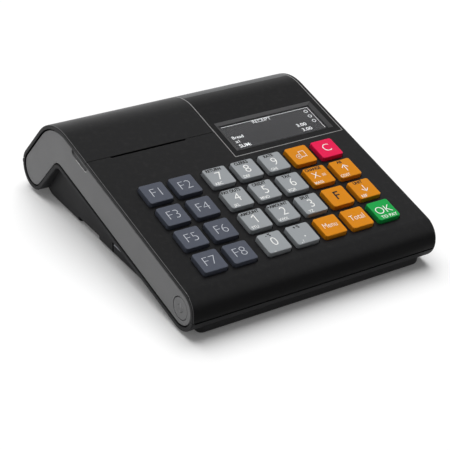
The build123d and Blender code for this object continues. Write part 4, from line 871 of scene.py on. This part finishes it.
# Camera: stands front left of the register, a little turned about its own axis.
view = {
    "place": (-0.518525, -0.676920, 0.518259), "lens": 118.037, "sensor": 36.0,
    "right": (0.8216091, -0.5628549, 0.0902929), "up": (0.2320411, 0.4748946, 0.8489005),
    "forward": (0.5206874, 0.6765127, -0.5207832),
}
cameraData = bpy.data.cameras.new("studioCamera")
cameraData.lens = view["lens"]
cameraData.sensor_width = view["sensor"]
cameraData.sensor_fit = "HORIZONTAL"
camera = bpy.data.objects.new("studioCamera", cameraData)
scene.collection.objects.link(camera)
columns = [view["right"], view["up"], tuple(-c for c in view["forward"]), view["place"]]
camera.matrix_world = Matrix([[column[row] for column in columns] for row in range(3)] + [[0, 0, 0, 1]])
scene.camera = camera


# One for rays from the camera, through clear plastic or off gloss; nought for light that bounces about.
def seenDirectly(tree):
    path = addNode(tree, "ShaderNodeLightPath", -600, -50)
    first = addNode(tree, "ShaderNodeMath", -400, -50, operation="MAXIMUM")
    second = addNode(tree, "ShaderNodeMath", -200, -50, operation="MAXIMUM")
    tree.links.new(path.outputs["Is Camera Ray"], first.inputs[0])
    tree.links.new(path.outputs["Is Transmission Ray"], first.inputs[1])
    tree.links.new(first.outputs[0], second.inputs[0])
    tree.links.new(path.outputs["Is Glossy Ray"], second.inputs[1])
    return second.outputs[0]


# Pale floor that keeps the shadow; the rest of its white is for the camera's own rays.
floorLook = {"size": 8.0, "seen": 0.9, "bounced": 0.45, "lift": 0.078}


def flatSheet(name, width, height):
    mesh = bpy.data.meshes.new(name)
    w, h = width / 2, height / 2
    mesh.from_pydata([(-w, -h, 0), (w, -h, 0), (w, h, 0), (-w, h, 0)], [], [(0, 1, 2, 3)])
    obj = bpy.data.objects.new(name, mesh)
    scene.collection.objects.link(obj)
    return obj


def makeFloor():
    obj = flatSheet("floor", floorLook["size"], floorLook["size"])
    material = bpy.data.materials.new("floorPaper")
    material.use_nodes = True
    tree = material.node_tree
    tree.nodes.clear()
    sink = addNode(tree, "ShaderNodeOutputMaterial", 600, 0)
    paper = addNode(tree, "ShaderNodeBsdfDiffuse", 0, 150)
    glow = addNode(tree, "ShaderNodeEmission", 0, -50)
    seen = seenDirectly(tree)
    strength = addNode(tree, "ShaderNodeMath", -50, -250, operation="MULTIPLY")
    strength.inputs[1].default_value = floorLook["lift"]
    both = addNode(tree, "ShaderNodeAddShader", 300, 0)
    bounced, direct = ((floorLook[key],) * 3 + (1,) for key in ("bounced", "seen"))
    tone = mixColours(tree, -100, 150, seen, bounced, direct)
    tree.links.new(tone, paper.inputs["Color"])
    tree.links.new(seen, strength.inputs[0])
    tree.links.new(strength.outputs[0], glow.inputs["Strength"])
    tree.links.new(paper.outputs[0], both.inputs[0])
    tree.links.new(glow.outputs[0], both.inputs[1])
    tree.links.new(both.outputs[0], sink.inputs["Surface"])
    obj.data.materials.append(material)


makeFloor()

# Even light from all round, and the white behind the register that is only seen.
studio = {"ambient": 0.14, "backdrop": 1.0, "white": (1, 1, 1, 1)}


def makeWorld():
    world = bpy.data.worlds.new("studio")
    scene.world = world
    world.use_nodes = True
    tree = world.node_tree
    tree.nodes.clear()
    sink = addNode(tree, "ShaderNodeOutputWorld", 600, 0)
    backdrop = addNode(tree, "ShaderNodeBackground", 0, 100)
    backdrop.inputs["Strength"].default_value = studio["backdrop"]
    ambient = addNode(tree, "ShaderNodeBackground", 0, -100)
    ambient.inputs["Strength"].default_value = studio["ambient"]
    mix = addNode(tree, "ShaderNodeMixShader", 300, 0)
    for node in (backdrop, ambient):
        node.inputs["Color"].default_value = studio["white"]
    tree.links.new(seenDirectly(tree), mix.inputs["Fac"])
    tree.links.new(ambient.outputs[0], mix.inputs[1])
    tree.links.new(backdrop.outputs[0], mix.inputs[2])
    tree.links.new(mix.outputs[0], sink.inputs["Surface"])


makeWorld()

# Broad soft lamps, each named by where it stands; spread in degrees. The sheen lamp only shows in gloss.
lamps = {
    "overhead": {"place": (0.05, 0.4, 1.0), "spread": 62.0, "power": 3.05},
    "leftSoft": {"place": (-1.0, 0.25, 0.5), "spread": 70.0, "power": 0.32},
    "frontSheen": {"place": (0.52, -0.45, 0.73), "spread": 45.0, "power": 0.3, "sheen": True},
}
for name, values in lamps.items():
    lightData = bpy.data.lights.new(name, "SUN")
    lightData.angle = radians(values["spread"])
    lightData.energy = values["power"]
    lamp = bpy.data.objects.new(name, lightData)
    lamp.location = values["place"]
    lamp.visible_glossy = values.get("sheen", False)
    lamp.visible_diffuse = not lamp.visible_glossy
    lamp.rotation_euler = (-Vector(values["place"])).to_track_quat("-Z", "Y").to_euler()
    scene.collection.objects.link(lamp)

# Grey felt in front, upright and on the floor, that only gloss sees; tip and turn in degrees.
cards = {
    "cardUpright": {"place": (0.8, -1.25, 0.22), "width": 3.4, "height": 0.42, "tip": 90, "turn": 32},
    "cardFlat": {"place": (0.45, -0.66, 0.001), "width": 2.0, "height": 1.086, "tip": 0, "turn": 0},
}


def makeCard(name, values):
    obj = flatSheet(name, values["width"], values["height"])
    obj.location = values["place"]
    obj.rotation_euler = (radians(values["tip"]), 0, radians(values["turn"]))
    obj.data.materials.append(materials["greyFelt"])
    obj.visible_camera = obj.visible_diffuse = obj.visible_shadow = obj.visible_transmission = False


for name, values in cards.items():
    makeCard(name, values)
scene.view_settings.view_transform = "Standard"
print("stage: studio")
